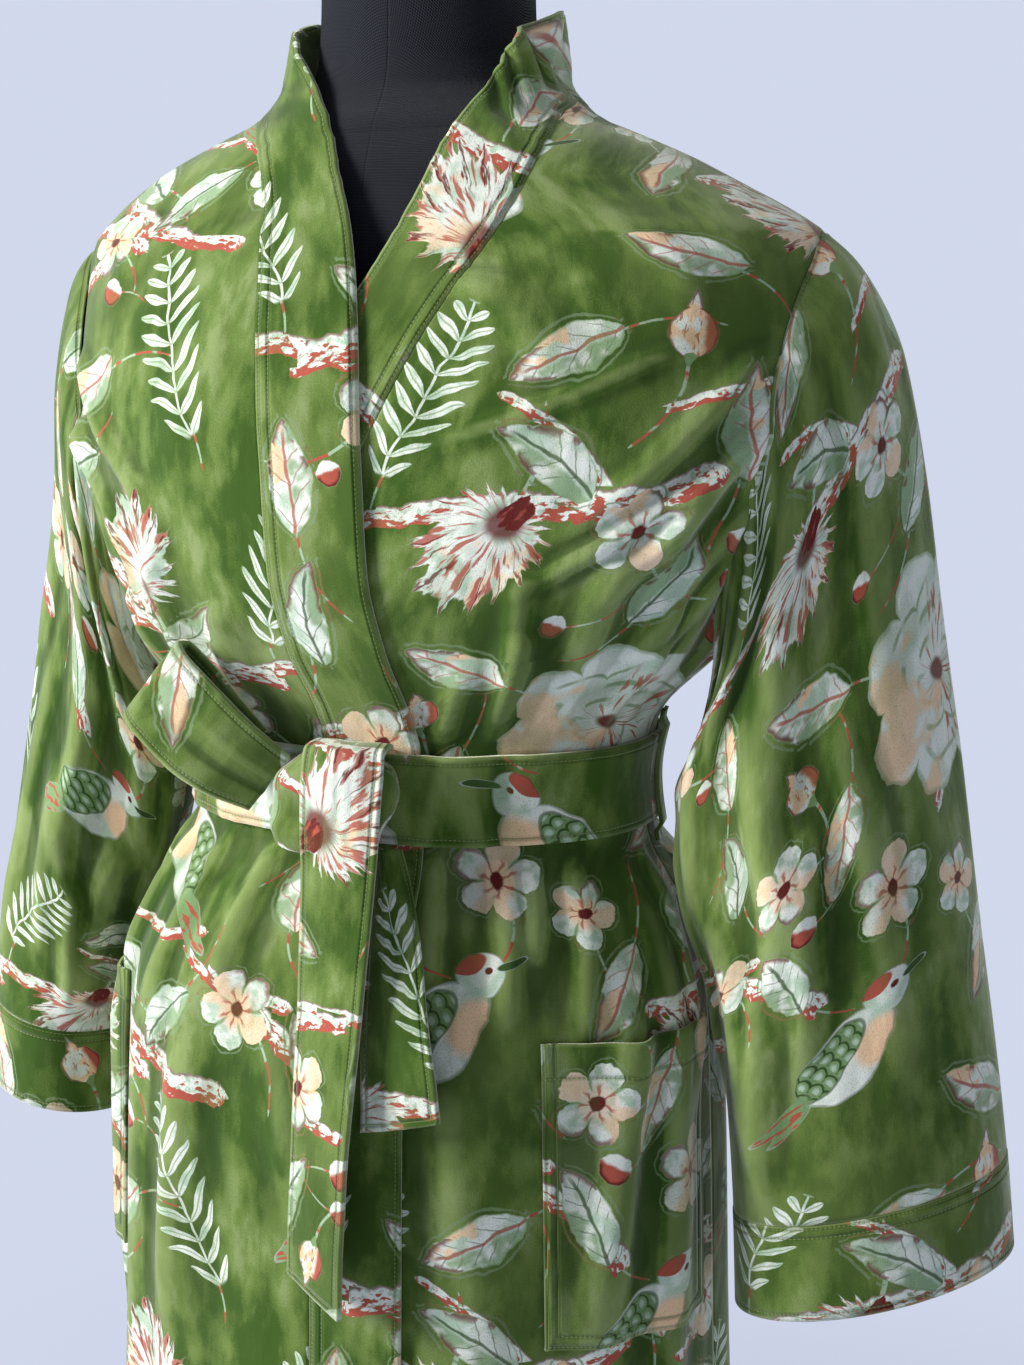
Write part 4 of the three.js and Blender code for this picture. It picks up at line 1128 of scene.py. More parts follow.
# Where each piece was cut from the printed cloth
BAND_CUT = {"left": (180, 1420), "right": (420, 1310)}
SLEEVE_CUT = {
    "sleeve_left": (250, 520),
    "sleeve_right": (90, 330),
    "cuff_left": (250, -70),
    "cuff_right": (90, -250),
}
POCKET_CUT = {"pocket_left": (300, 260), "pocket_right": (40, 520)}
PANEL_CUT = {"front_left": (330, 1280), "front_right": (60, 1360), "back": (120, 1290)}
BELT_CUT = {
    "belt": (900, 300),
    "belt_end_long": (610, 1210),
    "belt_end_short": (372, 560),
    "belt_bow": (330, 610),
    "belt_knot": (120, 470),
}


# Shader helpers
class Value:
    """A number or colour on its way through a node tree, so that sums can be written as sums."""

    def __init__(self, tree, socket):
        self.tree = tree
        self.socket = socket

    def _math(self, operation, *others):
        node = self.tree.nodes.new("ShaderNodeMath")
        node.operation = operation
        for i, item in enumerate((self, *others)):
            plug(self.tree, item, node.inputs[i])
        return Value(self.tree, node.outputs[0])

    def __add__(self, other):
        return self._math("ADD", other)

    def __sub__(self, other):
        return self._math("SUBTRACT", other)

    def __rsub__(self, other):
        return (self * -1) + other

    def __mul__(self, other):
        return self._math("MULTIPLY", other)

    def __truediv__(self, other):
        return self._math("DIVIDE", other)

    __radd__ = __add__
    __rmul__ = __mul__

    def __pow__(self, other):
        return self._math("POWER", other)

    def abs(self):
        return self._math("ABSOLUTE")

    def min(self, other):
        return self._math("MINIMUM", other)

    def max(self, other):
        return self._math("MAXIMUM", other)

    def sin(self):
        return self._math("SINE")

    def root(self):
        return self.max(0.0)._math("SQRT")

    def cell(self):
        return self._math("FRACT")

    def floor(self):
        return self._math("FLOOR")

    def over(self, low, high):
        """0 below low and 1 above high, smooth between them; the other way round if low is the higher."""
        node = self.tree.nodes.new("ShaderNodeMapRange")
        node.interpolation_type = "SMOOTHSTEP"
        node.inputs["From Min"].default_value = min(low, high)
        node.inputs["From Max"].default_value = max(low, high)
        node.inputs["To Min"].default_value = 0.0 if low < high else 1.0
        node.inputs["To Max"].default_value = 1.0 if low < high else 0.0
        plug(self.tree, self, node.inputs["Value"])
        return Value(self.tree, node.outputs["Result"])


def plug(tree, item, socket):
    if isinstance(item, Value):
        tree.links.new(item.socket, socket)
    elif isinstance(item, (int, float)) and socket.type == "RGBA":
        socket.default_value = (item, item, item, 1)
    elif isinstance(item, tuple):
        socket.default_value = (*item, 1) if socket.type == "RGBA" else item
    else:
        socket.default_value = item


def turn_of(up, across):
    return up._math("ARCTAN2", across)


def length_of(across, up):
    return (across * across + up * up).root()


def vector(tree, x, y, z=0.0):
    node = tree.nodes.new("ShaderNodeCombineXYZ")
    for i, item in enumerate((x, y, z)):
        plug(tree, item, node.inputs[i])
    return Value(tree, node.outputs[0])


def parts_of(tree, item):
    """The three parts of a vector."""
    split = tree.nodes.new("ShaderNodeSeparateXYZ")
    plug(tree, item, split.inputs[0])
    return [Value(tree, socket) for socket in split.outputs]


def noise(tree, place, scale, detail=2.0, rough=0.5):
    node = tree.nodes.new("ShaderNodeTexNoise")
    node.inputs["Scale"].default_value = scale
    node.inputs["Detail"].default_value = detail
    node.inputs["Roughness"].default_value = rough
    plug(tree, place, node.inputs["Vector"])
    return Value(tree, node.outputs[0])


def mixed(tree, first, second, share):
    node = tree.nodes.new("ShaderNodeMix")
    node.data_type = "RGBA"
    plug(tree, share, node.inputs["Factor"])
    plug(tree, first, node.inputs["A"])
    plug(tree, second, node.inputs["B"])
    return Value(tree, node.outputs["Result"])


def linear(red, green, blue):
    """A colour given from 0 to 255, as light."""
    shares = (red / 255, green / 255, blue / 255)
    return tuple(v / 12.92 if v <= 0.04045 else ((v + 0.055) / 1.055) ** 2.4 for v in shares)


def make_group(name, inputs, outputs, build):
    """A node group; build is given its tree and inputs and returns its outputs in order."""
    tree = bpy.data.node_groups.new(name, "ShaderNodeTree")
    kinds = {"value": "NodeSocketFloat", "colour": "NodeSocketColor", "vector": "NodeSocketVector"}
    for label, kind, start in inputs:
        socket = tree.interface.new_socket(label, in_out="INPUT", socket_type=kinds[kind])
        socket.default_value = start
    for label, kind in outputs:
        tree.interface.new_socket(label, in_out="OUTPUT", socket_type=kinds[kind])
    begin = tree.nodes.new("NodeGroupInput")
    end = tree.nodes.new("NodeGroupOutput")
    given = [Value(tree, begin.outputs[label]) for label, _, _ in inputs]
    for item, socket in zip(build(tree, *given), end.inputs):
        plug(tree, item, socket)
    return tree


def use(tree, group, *given):
    node = tree.nodes.new("ShaderNodeGroup")
    node.node_tree = group
    for item, socket in zip(given, node.inputs):
        plug(tree, item, socket)
    return [Value(tree, socket) for socket in node.outputs]


# The print's motifs
INKED = [("Colour", "colour"), ("Cover", "value")]  # what every part of the print puts out
WHITE = linear(222, 228, 216)
MINT = linear(176, 198, 174)
LEAF_GREEN = linear(118, 148, 98)
DEEP_GREEN = linear(52, 78, 34)
PEACH = linear(232, 196, 156)
BRICK = linear(168, 80, 64)
WINE = linear(98, 26, 28)
GROUND = linear(96, 119, 54)
GROUND_DARK = linear(54, 82, 22)


def haloed(tree, colour, edge, away):
    """The colour and cover of a motif with a loose brushed outline round it."""
    loose = (edge + away).abs().over(0.034, 0.012) * edge.over(-0.3, -0.05)
    cover = edge.over(-0.012, 0.02)
    return mixed(tree, mixed(tree, DEEP_GREEN, LEAF_GREEN, 0.5), colour, cover), cover.max(loose * 0.75)


def blossom(tree, across, up, chance):
    place = vector(tree, across, up, chance * 9)
    rag = (noise(tree, place, 6) - 0.5) * 0.14
    turn, radius = turn_of(up, across), length_of(across, up)
    lobe = (turn * 2.5).sin().abs()
    edge = lobe ** 0.55 * 0.4 + 0.56 + rag
    shade = noise(tree, place, 3.4)
    colour = mixed(tree, WHITE, MINT, shade.over(0.42, 0.66))
    colour = mixed(tree, colour, PEACH, radius.over(0.62, 0.24) * chance.over(0.1, 0.5) * 0.9)
    gap = lobe.over(0.3, 0.08) * radius.over(0.2, 0.42)
    colour = mixed(tree, colour, LEAF_GREEN, gap * 0.85)
    spoke = (turn * 7 + shade * 5).sin().over(0.5, 0.95) * radius.over(0.12, 0.2) * radius.over(0.52, 0.36)
    colour = mixed(tree, colour, BRICK, spoke * 0.8)
    colour = mixed(tree, colour, WINE, (radius + rag).over(0.2, 0.13))
    tip = (turn + chance * 9).sin().over(0.5, 0.9) * (edge - radius).over(0.16, 0.05)
    colour = mixed(tree, colour, WINE, tip * 0.8)
    petals = (turn * 2 + chance * 20).sin().over(0.3, 0.7) * radius.over(0.3, 0.5)
    colour = mixed(tree, colour, PEACH, petals * 0.75)
    return haloed(tree, colour, edge - radius, 0.1)


def leaf(tree, across, up, chance):
    place = vector(tree, across, up, chance * 9)
    rag = (noise(tree, place, 5) - 0.5) * 0.09
    bent = up - (across * across) * (chance - 0.5) * 0.4
    half = (1 - across * across).max(0.0) ** 0.75 * (across * -0.25 + 1) * 0.42
    edge = half + rag - bent.abs()
    shade = noise(tree, place, 2.2)
    colour = mixed(tree, WHITE, MINT, shade.over(0.4, 0.6))
    colour = mixed(tree, colour, LEAF_GREEN, (bent + rag).over(-0.02, -0.1) * shade.over(0.36, 0.52) * 0.7)
    blot = (noise(tree, place, 1.9) + across * 0.1).over(0.53, 0.58) * chance.over(0.3, 0.5)
    colour = mixed(tree, colour, PEACH, blot * bent.over(-0.02, 0.05) * 0.9)
    vein = ((across - bent.abs() * 1.1) * 2.9 + rag * 3).cell() - 0.5
    veined = vein.abs().over(0.08, 0.03) * edge.over(0.03, 0.1) * shade.over(0.62, 0.46)
    colour = mixed(tree, colour, mixed(tree, DEEP_GREEN, BRICK, chance.over(0.45, 0.55)), veined * 0.6)
    rib = bent.abs().over(0.045, 0.015) * across.over(0.9, 0.6)
    colour = mixed(tree, colour, mixed(tree, DEEP_GREEN, BRICK, chance.over(0.4, 0.5)), rib * 0.85)
    blush = (noise(tree, place, 2.6) + across * 0.2).over(0.57, 0.62) * edge.over(0.16, 0.04)
    colour = mixed(tree, colour, WINE, blush * 0.85)
    colour = mixed(tree, colour, LEAF_GREEN, edge.over(0.05, 0.01) * 0.6)
    colour, cover = haloed(tree, colour, edge, 0.09)
    return colour, cover * across.abs().over(1.1, 1.0)


def feathered(tree, across, up, chance):
    """A feathery many-petalled flower, opening towards +across from a dark calyx."""
    place = vector(tree, across, up, chance * 9)
    ax = across + 0.5
    turn, radius = turn_of(up, ax), length_of(ax, up)
    spray = noise(tree, vector(tree, turn * 5.5, radius * 1.6, chance * 7), 1.6, 3.0)
    tooth = (turn * 10 + spray * 4).sin().abs()
    edge = 1.32 - turn.abs() * 0.36 - tooth * 0.24 + (spray - 0.5) * 0.24
    colour = mixed(tree, WHITE, MINT, noise(tree, place, 3).over(0.45, 0.62))
    colour = mixed(tree, colour, PEACH, (noise(tree, place, 2.1) - up * 0.2).over(0.56, 0.66) * 0.7)
    streak = spray.over(0.52, 0.6) * (radius.over(0.1, 0.4)) * 0.9
    colour = mixed(tree, colour, BRICK, streak)
    dark = (tooth.over(0.3, 0.06) * radius.over(0.4, 0.75)).max(radius.over(0.3, 0.16))
    colour = mixed(tree, colour, WINE, dark * 0.9)
    ragged = (noise(tree, vector(tree, across * 2, up * 5, chance), 2.4, 3.0) - 0.5) * 1.1
    foot = length_of((across + 0.66) / 0.24, up / 0.17) + ragged
    colour = mixed(tree, colour, mixed(tree, WINE, BRICK, ragged.over(0.0, 0.2)), foot.over(1.0, 0.9))
    petals = (edge - radius).over(-0.02, 0.03) * turn.abs().over(2.75, 2.5)
    return colour, petals.max(foot.over(1.0, 0.94))


def full_bloom(tree, across, up, chance):
    """A large soft flower of layered petals with a brushed heart."""
    place = vector(tree, across, up, chance * 9)
    rag = (noise(tree, place, 2.6, 3.0) - 0.5) * 0.22
    turn, radius = turn_of(up, across), length_of(across, up)
    edge = (turn * 3.5 + 0.6).sin().abs() ** 0.5 * 0.2 + 0.76 + rag
    shade = noise(tree, place, 2.4)
    colour = mixed(tree, WHITE, MINT, shade.over(0.38, 0.62))
    for layer, (lobes, reach) in enumerate(((3.0, 0.66), (2.5, 0.44), (2.0, 0.26))):
        rim = (turn * lobes + 1.3 * layer).sin().abs() ** 0.5 * 0.14 + (reach - 0.08) + rag * 0.7
        broken = noise(tree, vector(tree, turn * 0.9, layer, chance * 5), 1.7).over(0.44, 0.54)
        colour = mixed(tree, colour, LEAF_GREEN, (radius - rim).abs().over(0.034, 0.012) * broken * 0.8)
        lit = (rim - radius).over(0.0, 0.12) * (rim - radius).over(0.3, 0.12)
        colour = mixed(tree, colour, WHITE, lit * 0.5)
    brush = noise(tree, vector(tree, turn * 4.5, radius * 1.4, 3.0), 2.0, 2.0)
    brushed = brush.over(0.55, 0.6) * radius.over(0.8, 0.5) * across.over(0.35, 0.0)
    colour = mixed(tree, colour, BRICK, brushed)
    colour = mixed(tree, colour, PEACH, (shade + across * 0.25 - up * 0.15).over(0.58, 0.7) * 0.85)
    colour = mixed(tree, colour, WINE, (radius + rag * 0.6).over(0.13, 0.07))
    colour = mixed(tree, colour, LEAF_GREEN, (edge - radius).over(0.05, 0.015) * 0.6)
    return colour, (edge - radius).over(-0.006, 0.008)


def fern(tree, across, up, chance):
    bent = up - (across * 2.1).sin() * 0.07
    slant = across - bent.abs() * 0.75
    part = (slant * 4.6).cell() - 0.5
    reach = (1 - across * across).max(0.0) ** 0.5 * 0.36 + 0.04
    share = (bent.abs() / reach).min(1.0)
    half = (share * 3.14159).sin() ** 0.6 * 0.3
    inside = (half - part.abs()).over(0.0, 0.06) * share.over(1.0, 0.96)
    rib = bent.abs().over(0.02, 0.008)
    shade = noise(tree, vector(tree, across, up, chance * 9), 5)
    colour = mixed(tree, WHITE, MINT, shade.over(0.4, 0.66))
    colour = mixed(tree, colour, LEAF_GREEN, part.abs().over(0.07, 0.02) * 0.7)
    return colour, inside.max(rib) * across.abs().over(0.99, 0.95)


def hip(tree, across, up, chance):
    """A round hip or bud with a pointed tip and small sepals at its foot."""
    place = vector(tree, across, up, chance * 9)
    rag = (noise(tree, place, 4) - 0.5) * 0.12
    ax = across + 0.1
    half = ((0.55 - ax.abs()).max(0.0) * (0.55 + ax.abs())).root()
    tip = (0.95 - across).max(0.0) * 0.42 * across.over(0.3, 0.5)
    body = half.max(tip) + rag * 0.6 - up.abs()
    shade = noise(tree, place, 2.6)
    colour = mixed(tree, WHITE, PEACH, shade.over(0.42, 0.56))
    colour = mixed(tree, colour, BRICK, (up + rag).over(0.16, 0.34))
    streak = noise(tree, vector(tree, across * 1.5, up * 6, 2.0), 2.2).over(0.56, 0.64)
    colour = mixed(tree, colour, BRICK, streak * 0.8)
    colour = mixed(tree, colour, WINE, body.over(0.09, 0.03) * 0.85)
    foot = (across + 0.95).max(0.0) * 0.5 * across.over(-0.5, -0.62)
    sepal = (foot - up.abs()).over(0.0, 0.03)
    colour = mixed(tree, colour, LEAF_GREEN, sepal)
    return colour, body.over(-0.01, 0.03).max(sepal)


def berry(tree, across, up, chance):
    place = vector(tree, across, up, chance * 9)
    rag = (noise(tree, place, 1.6) - 0.5) * 0.3
    radius = length_of(across, up) + rag
    colour = mixed(tree, WHITE, BRICK, (up - across * 0.4 + rag).over(0.3, 0.05))
    colour = mixed(tree, colour, WINE, radius.over(0.6, 0.85) * (up - across * 0.4).over(0.1, -0.2))
    return colour, radius.over(0.98, 0.86)


def oval(across, up, x, y, wide, high, tilt=0.0):
    """1 in the middle of an oval, 0 on its edge and less outside."""
    c, s = math.cos(math.radians(tilt)), math.sin(math.radians(tilt))
    ax, uy = across - x, up - y
    along, over = ax * c + uy * s, uy * c - ax * s
    return 1 - length_of(along / wide, over / high)


def bird(tree, across, up, chance):
    """A small plain songbird at rest, looking towards +across."""
    place = vector(tree, across, up, chance * 9)
    rag = (noise(tree, place, 7) - 0.5) * 0.1
    body = oval(across, up, 0.02, -0.02, 0.52, 0.29, 18) + rag
    head = oval(across, up, 0.52, 0.27, 0.2, 0.18) + rag * 0.6
    beak = oval(across, up, 0.78, 0.23, 0.15, 0.035, -14)
    tail = oval(across, up, -0.66, -0.22, 0.34, 0.075, 18) + rag
    quill = oval(across, up, -0.62, -0.3, 0.3, 0.06, 26) + rag
    wing = oval(across, up, -0.14, 0.02, 0.42, 0.17, 24) + rag
    colour = mixed(tree, WHITE, MINT, noise(tree, place, 4).over(0.42, 0.6))
    colour = mixed(tree, colour, PEACH, oval(across, up, 0.32, -0.06, 0.26, 0.2, 20).over(-0.1, 0.4))
    down_wing = (across * 0.9 + up * 0.4) * 8
    over_wing = (up - across * 0.4) * 8 + down_wing.floor() * 0.5
    scale = length_of(down_wing.cell() - 0.2, over_wing.cell() - 0.5)
    feather = mixed(tree, MINT, LEAF_GREEN, scale.over(0.1, 0.4))
    feather = mixed(tree, feather, DEEP_GREEN, (scale + rag).over(0.46, 0.52) * scale.over(0.72, 0.6))
    colour = mixed(tree, colour, feather, wing.over(-0.02, 0.05))
    colour = mixed(tree, colour, DEEP_GREEN, wing.abs().over(0.07, 0.02) * 0.7)
    streak = noise(tree, vector(tree, across * 2, up * 9, 1.0), 2).over(0.54, 0.6)
    longest = mixed(tree, LEAF_GREEN, BRICK, streak)
    colour = mixed(tree, colour, longest, tail.max(quill).over(0.0, 0.1) * across.over(-0.36, -0.46))
    crown = oval(across, up, 0.46, 0.4, 0.17, 0.09, -6) + rag * 2
    colour = mixed(tree, colour, BRICK, crown.over(0.0, 0.12))
    colour = mixed(tree, colour, WINE, oval(across, up, 0.58, 0.28, 0.035, 0.03).over(-0.1, 0.3))
    colour = mixed(tree, colour, DEEP_GREEN, beak.over(0.0, 0.2))
    inside = body.max(head).max(beak).max(tail).max(quill)
    colour = mixed(tree, colour, DEEP_GREEN, inside.over(0.09, 0.02) * 0.6)
    return colour, inside.over(-0.02, 0.02)


MOTIFS = {
    "blossom": blossom,
    "leaf": leaf,
    "feathered": feathered,
    "full bloom": full_bloom,
    "fern": fern,
    "hip": hip,
    "berry": berry,
    "bird": bird,
}


def motif_group(name, draw):
    inputs = [("Across", "value", 0.0), ("Up", "value", 0.0), ("Chance", "value", 0.5)]
    return make_group(f"motif {name}", inputs, INKED, draw)


def stem_print(tree, side, along, half):
    """A branch or stem: pale bark with brick blotches on its shady side."""
    place = vector(tree, along * 0.1, side * 0.1, half)
    rag = (noise(tree, place, 1.6, 3.0) - 0.5) * half * 0.5
    edge = half + rag - side.abs()
    share = side / half.max(0.5)
    thick = half.over(1.4, 2.6)
    bark = mixed(tree, WHITE, MINT, noise(tree, place, 2.4).over(0.5, 0.64))
    blotch = noise(tree, vector(tree, along * 0.09, side * 0.22, half), 1.5, 3.0)
    blotch = (blotch - share * 0.16).over(0.5, 0.57)
    bark = mixed(tree, bark, BRICK, blotch)
    bark = mixed(tree, bark, WINE, (edge / half.max(0.5)).over(0.3, 0.08) * share.over(-0.2, 0.4) * 0.8)
    sprig = mixed(tree, mixed(tree, MINT, LEAF_GREEN, 0.4), BRICK, noise(tree, place, 0.7).over(0.5, 0.56))
    colour = mixed(tree, sprig, bark, thick)
    return colour, edge.over(-0.1, 0.35) * half.over(0.2, 0.5)


def print_on(tree, motif, look, stem):
    """The whole print: ground, stems and motifs, and how much ink lies on the pile."""
    across, up, kind = parts_of(tree, motif)
    chance = parts_of(tree, look)[0]
    side, along, half = parts_of(tree, stem)
    drift = vector(tree, across, up, chance * 40)
    across = across + (noise(tree, drift, 1.7) - 0.5) * 0.26
    up = up + (noise(tree, vector(tree, up, across, chance * 23 + 5), 1.7) - 0.5) * 0.22
    side = side + (noise(tree, vector(tree, along, chance, 0.0), 0.05) - 0.5) * half * 1.6
    places = [(label, "value", 0.0) for label in ("Side", "Along", "Half Width")]
    stems = make_group("stems", places, INKED, stem_print)
    colour, cover = use(tree, stems, side, along, half)
    total = cover
    for name, draw in MOTIFS.items():
        ink, over = use(tree, motif_group(name, draw), across, up, chance)
        mine = (kind - KINDS.index(name)).abs().over(0.3, 0.2)
        over = over * mine
        colour = mixed(tree, colour, ink, over)
        total = total.max(over)
    return colour, total


# Cloth surfaces
def read_vector(tree, name):
    node = tree.nodes.new("ShaderNodeAttribute")
    node.attribute_type = "GEOMETRY"
    node.attribute_name = name
    return Value(tree, node.outputs["Vector"])


def scaled(tree, place, size):
    node = tree.nodes.new("ShaderNodeVectorMath")
    node.operation = "MULTIPLY"
    plug(tree, place, node.inputs[0])
    plug(tree, size, node.inputs[1])
    return Value(tree, node.outputs[0])


def nap(tree, cloth):
    """How the pile lies, from stroked down to stroked up in soft patches, soft crumples, and the weave."""
    wide = noise(tree, scaled(tree, cloth, (0.013, 0.008, 0.0)), 1.0, 3.0, 0.6)
    short = noise(tree, scaled(tree, cloth, (0.05, 0.022, 0.0)), 1.0, 3.0, 0.62)
    grain = noise(tree, scaled(tree, cloth, (1.3, 0.9, 0.0)), 1.0, 2.0, 0.6)
    lie = wide.over(0.38, 0.62) * 0.5 + short.over(0.36, 0.64) * 0.34 + grain.over(0.3, 0.7) * 0.16
    crumple = noise(tree, scaled(tree, cloth, (0.03, 0.014, 0.0)), 1.0, 2.0, 0.5)
    return lie, crumple, grain


def stitches(tree, first, second, run, near, far, second_near, length):
    """Sewn lines beside the two edges: their thread and the dip it pulls in the pile."""

    def line(away, place):
        off = (away - place).abs()
        from_middle = ((run / length).cell() - 0.5).abs()
        thread = off.over(0.42, 0.2) * from_middle.over(0.4, 0.32)
        dip = off.over(2.2, 0.0) * (from_middle * 0.5 + 0.75)
        return thread, dip

    rows = [line(first, near), line(first, far), line(second, second_near)]
    thread = rows[0][0].max(rows[1][0]).max(rows[2][0])
    dip = rows[0][1].max(rows[1][1]).max(rows[2][1])
    return thread, dip


NAP = make_group(
    "nap",
    [("Cloth", "vector", (0, 0, 0))],
    [("Lie", "value"), ("Crumple", "value"), ("Grain", "value")],
    nap,
)
STITCHES = make_group(
    "stitches",
    [
        ("First Edge", "value", NOT_SEWN),
        ("Second Edge", "value", NOT_SEWN),
        ("Run", "value", 0.0),
        ("Near Line", "value", NO_LINE),
        ("Far Line", "value", NO_LINE),
        ("Second Line", "value", NO_LINE),
        ("Stitch Length", "value", 2.6),
    ],
    [("Thread", "value"), ("Dip", "value")],
    stitches,
)
PRINT = make_group(
    "print",
    [(label, "vector", (0, 0, 0)) for label in ("Motif", "Look", "Stem")],
    INKED,
    print_on,
)


def new_material(name):
    material = bpy.data.materials.new(name)
    material.use_nodes = True
    tree = material.node_tree
    shader = tree.nodes["Principled BSDF"]
    return material, tree, shader


def bumped(tree, shader, height, strength, depth):
    node = tree.nodes.new("ShaderNodeBump")
    node.inputs["Strength"].default_value = strength
    node.inputs["Distance"].default_value = depth
    plug(tree, height, node.inputs["Height"])
    tree.links.new(node.outputs["Normal"], shader.inputs["Normal"])


def printed_velvet(name, near=NO_LINE, far=NO_LINE, second=NO_LINE):
    """Printed cotton velvet, with sewn lines at these distances from its first and second edges."""
    material, tree, shader = new_material(name)
    cloth = read_vector(tree, "cloth")
    lie, crumple, grain = use(tree, NAP, cloth)
    # The relief and the crumple bump decide where light and shade are painted: lighter on the ridges of the
    # folds, darker in their troughs
    stand = parts_of(tree, cloth)[2] + (crumple - 0.5) * 1.2
    ridge_painted_light = stand.over(0.5, 2.0)
    trough_painted_shade = stand.over(0.1, -0.9)
    first, second_edge, run = parts_of(tree, read_vector(tree, "sewn"))
    thread, dip = use(tree, STITCHES, first, second_edge, run, near, far, second)
    ink, cover = use(tree, PRINT, *(read_vector(tree, key) for key in ("motif", "look", "stem")))
    worn = noise(tree, scaled(tree, cloth, (0.004, 0.005, 0.0)), 1.0, 2.0)
    ground = mixed(tree, GROUND_DARK, GROUND, lie.over(0.2, 0.7))
    ground = mixed(tree, ground, linear(138, 154, 102), lie.over(0.6, 0.95) * 0.6)
    ground = mixed(tree, ground, linear(104, 122, 62), worn.over(0.5, 0.66) * 0.35)
    # Painted highlight on the ridges of the folds, then painted shade in their troughs
    ground = mixed(tree, ground, linear(140, 158, 96), ridge_painted_light * 0.38)
    ground = mixed(tree, ground, linear(36, 58, 16), trough_painted_shade * 0.65)
    ink = mixed(tree, ink, GROUND, lie.over(0.5, 0.1) * 0.3)
    # Painted shade on the print in the troughs of the folds
    ink = mixed(tree, ink, DEEP_GREEN, trough_painted_shade * 0.3)
    ink = mixed(tree, ink, GROUND_DARK, grain.over(0.44, 0.3) * 0.35)
    colour = mixed(tree, ground, ink, cover * (1 - grain.over(0.4, 0.28) * 0.25))
    edge_wear = first.min(second_edge).over(2.0, 0.3) * worn.over(0.36, 0.6)
    colour = mixed(tree, colour, linear(150, 168, 104), edge_wear * 0.4)
    # Painted shade in the dips that the sewn lines pull in the pile
    colour = mixed(tree, colour, linear(50, 74, 26), dip * 0.45)
    colour = mixed(tree, colour, linear(122, 142, 76), thread * 0.7)
    plug(tree, colour, shader.inputs["Base Color"])
    rough = 0.9 - lie.over(0.4, 0.9) * 0.1
    plug(tree, rough, shader.inputs["Roughness"])
    shader.inputs["Specular IOR Level"].default_value = 0.15
    shader.inputs["Sheen Weight"].default_value = 0.85
    shader.inputs["Sheen Roughness"].default_value = 0.36
    shader.inputs["Sheen Tint"].default_value = (*linear(226, 228, 206), 1)
    height = crumple * 3.2 + lie * 0.5 - dip * 0.9 + thread * 0.35
    bumped(tree, shader, height, 0.8, 0.0012)
    return material


def jersey():
    """Fine ribbed knit over the form, sewn down the middle of the front and round the neck."""
    material, tree, shader = new_material("black jersey")
    cloth = read_vector(tree, "cloth")
    across, up, _ = parts_of(tree, cloth)
    rib = ((up + noise(tree, scaled(tree, cloth, (0.02, 0.02, 0.0)), 1.0) * 5) * 3.6).sin() * 0.5 + 0.5
    loops = (across * 4.4 + rib * 1.4).sin() * 0.5 + 0.5
    neck, middle, _ = parts_of(tree, read_vector(tree, "sewn"))
    seam = neck.over(1.5, 0.3).max(middle.over(0.9, 0.2) * 0.7)
    lint = noise(tree, scaled(tree, cloth, (0.5, 0.5, 0.0)), 1.0, 3.0).over(0.7, 0.78)
    fade = noise(tree, scaled(tree, cloth, (0.012, 0.012, 0.0)), 1.0, 2.0)
    colour = mixed(tree, linear(5, 8, 14), linear(18, 23, 35), rib * 0.7 + fade * 0.3)
    colour = mixed(tree, colour, linear(8, 8, 11), seam * 0.85)
    colour = mixed(tree, colour, linear(70, 74, 84), lint * 0.3)
    plug(tree, colour, shader.inputs["Base Color"])
    shader.inputs["Roughness"].default_value = 0.85
    shader.inputs["Specular IOR Level"].default_value = 0.25
    shader.inputs["Sheen Weight"].default_value = 0.06
    bumped(tree, shader, rib * 0.6 + loops * 0.25 - seam, 0.7, 0.0008)
    return material


def painted_steel():
    """Black powder coat, a little rubbed and dusty."""
    material, tree, shader = new_material("black powder coat")
    place = tree.nodes.new("ShaderNodeTexCoord")
    place = Value(tree, place.outputs["Object"])
    grain = noise(tree, place, 900.0, 2.0)
    rubbed = noise(tree, place, 14.0, 4.0, 0.6)
    colour = mixed(tree, linear(18, 18, 19), linear(38, 38, 40), rubbed.over(0.45, 0.7))
    colour = mixed(tree, colour, linear(82, 80, 76), noise(tree, place, 60.0, 3.0).over(0.66, 0.78) * 0.25)
    plug(tree, colour, shader.inputs["Base Color"])
    plug(tree, 0.46 + rubbed * 0.2, shader.inputs["Roughness"])
    bumped(tree, shader, grain, 0.35, 0.0003)
    return material


# The object's pieces
PANEL_VELVET = printed_velvet("printed velvet, panels")
BAND_VELVET = printed_velvet("printed velvet, neckbands", near=2.0, far=8.0, second=3.0)
CUFF_VELVET = printed_velvet("printed velvet, cuffs", near=2.0, far=8.0, second=4.0)
SLEEVE_VELVET = printed_velvet("printed velvet, sleeves", near=2.5)
POCKET_VELVET = printed_velvet("printed velvet, pockets", near=2.0, far=8.0, second=20.0)
BELT_VELVET = printed_velvet("printed velvet, belt", near=4.0, second=4.0)
JERSEY = jersey()
STEEL = painted_steel()


def dress(obj, material, slot, *nodes):
    obj.data.materials.append(material)
    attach(obj, "root")
    if nodes:
        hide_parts(*nodes)


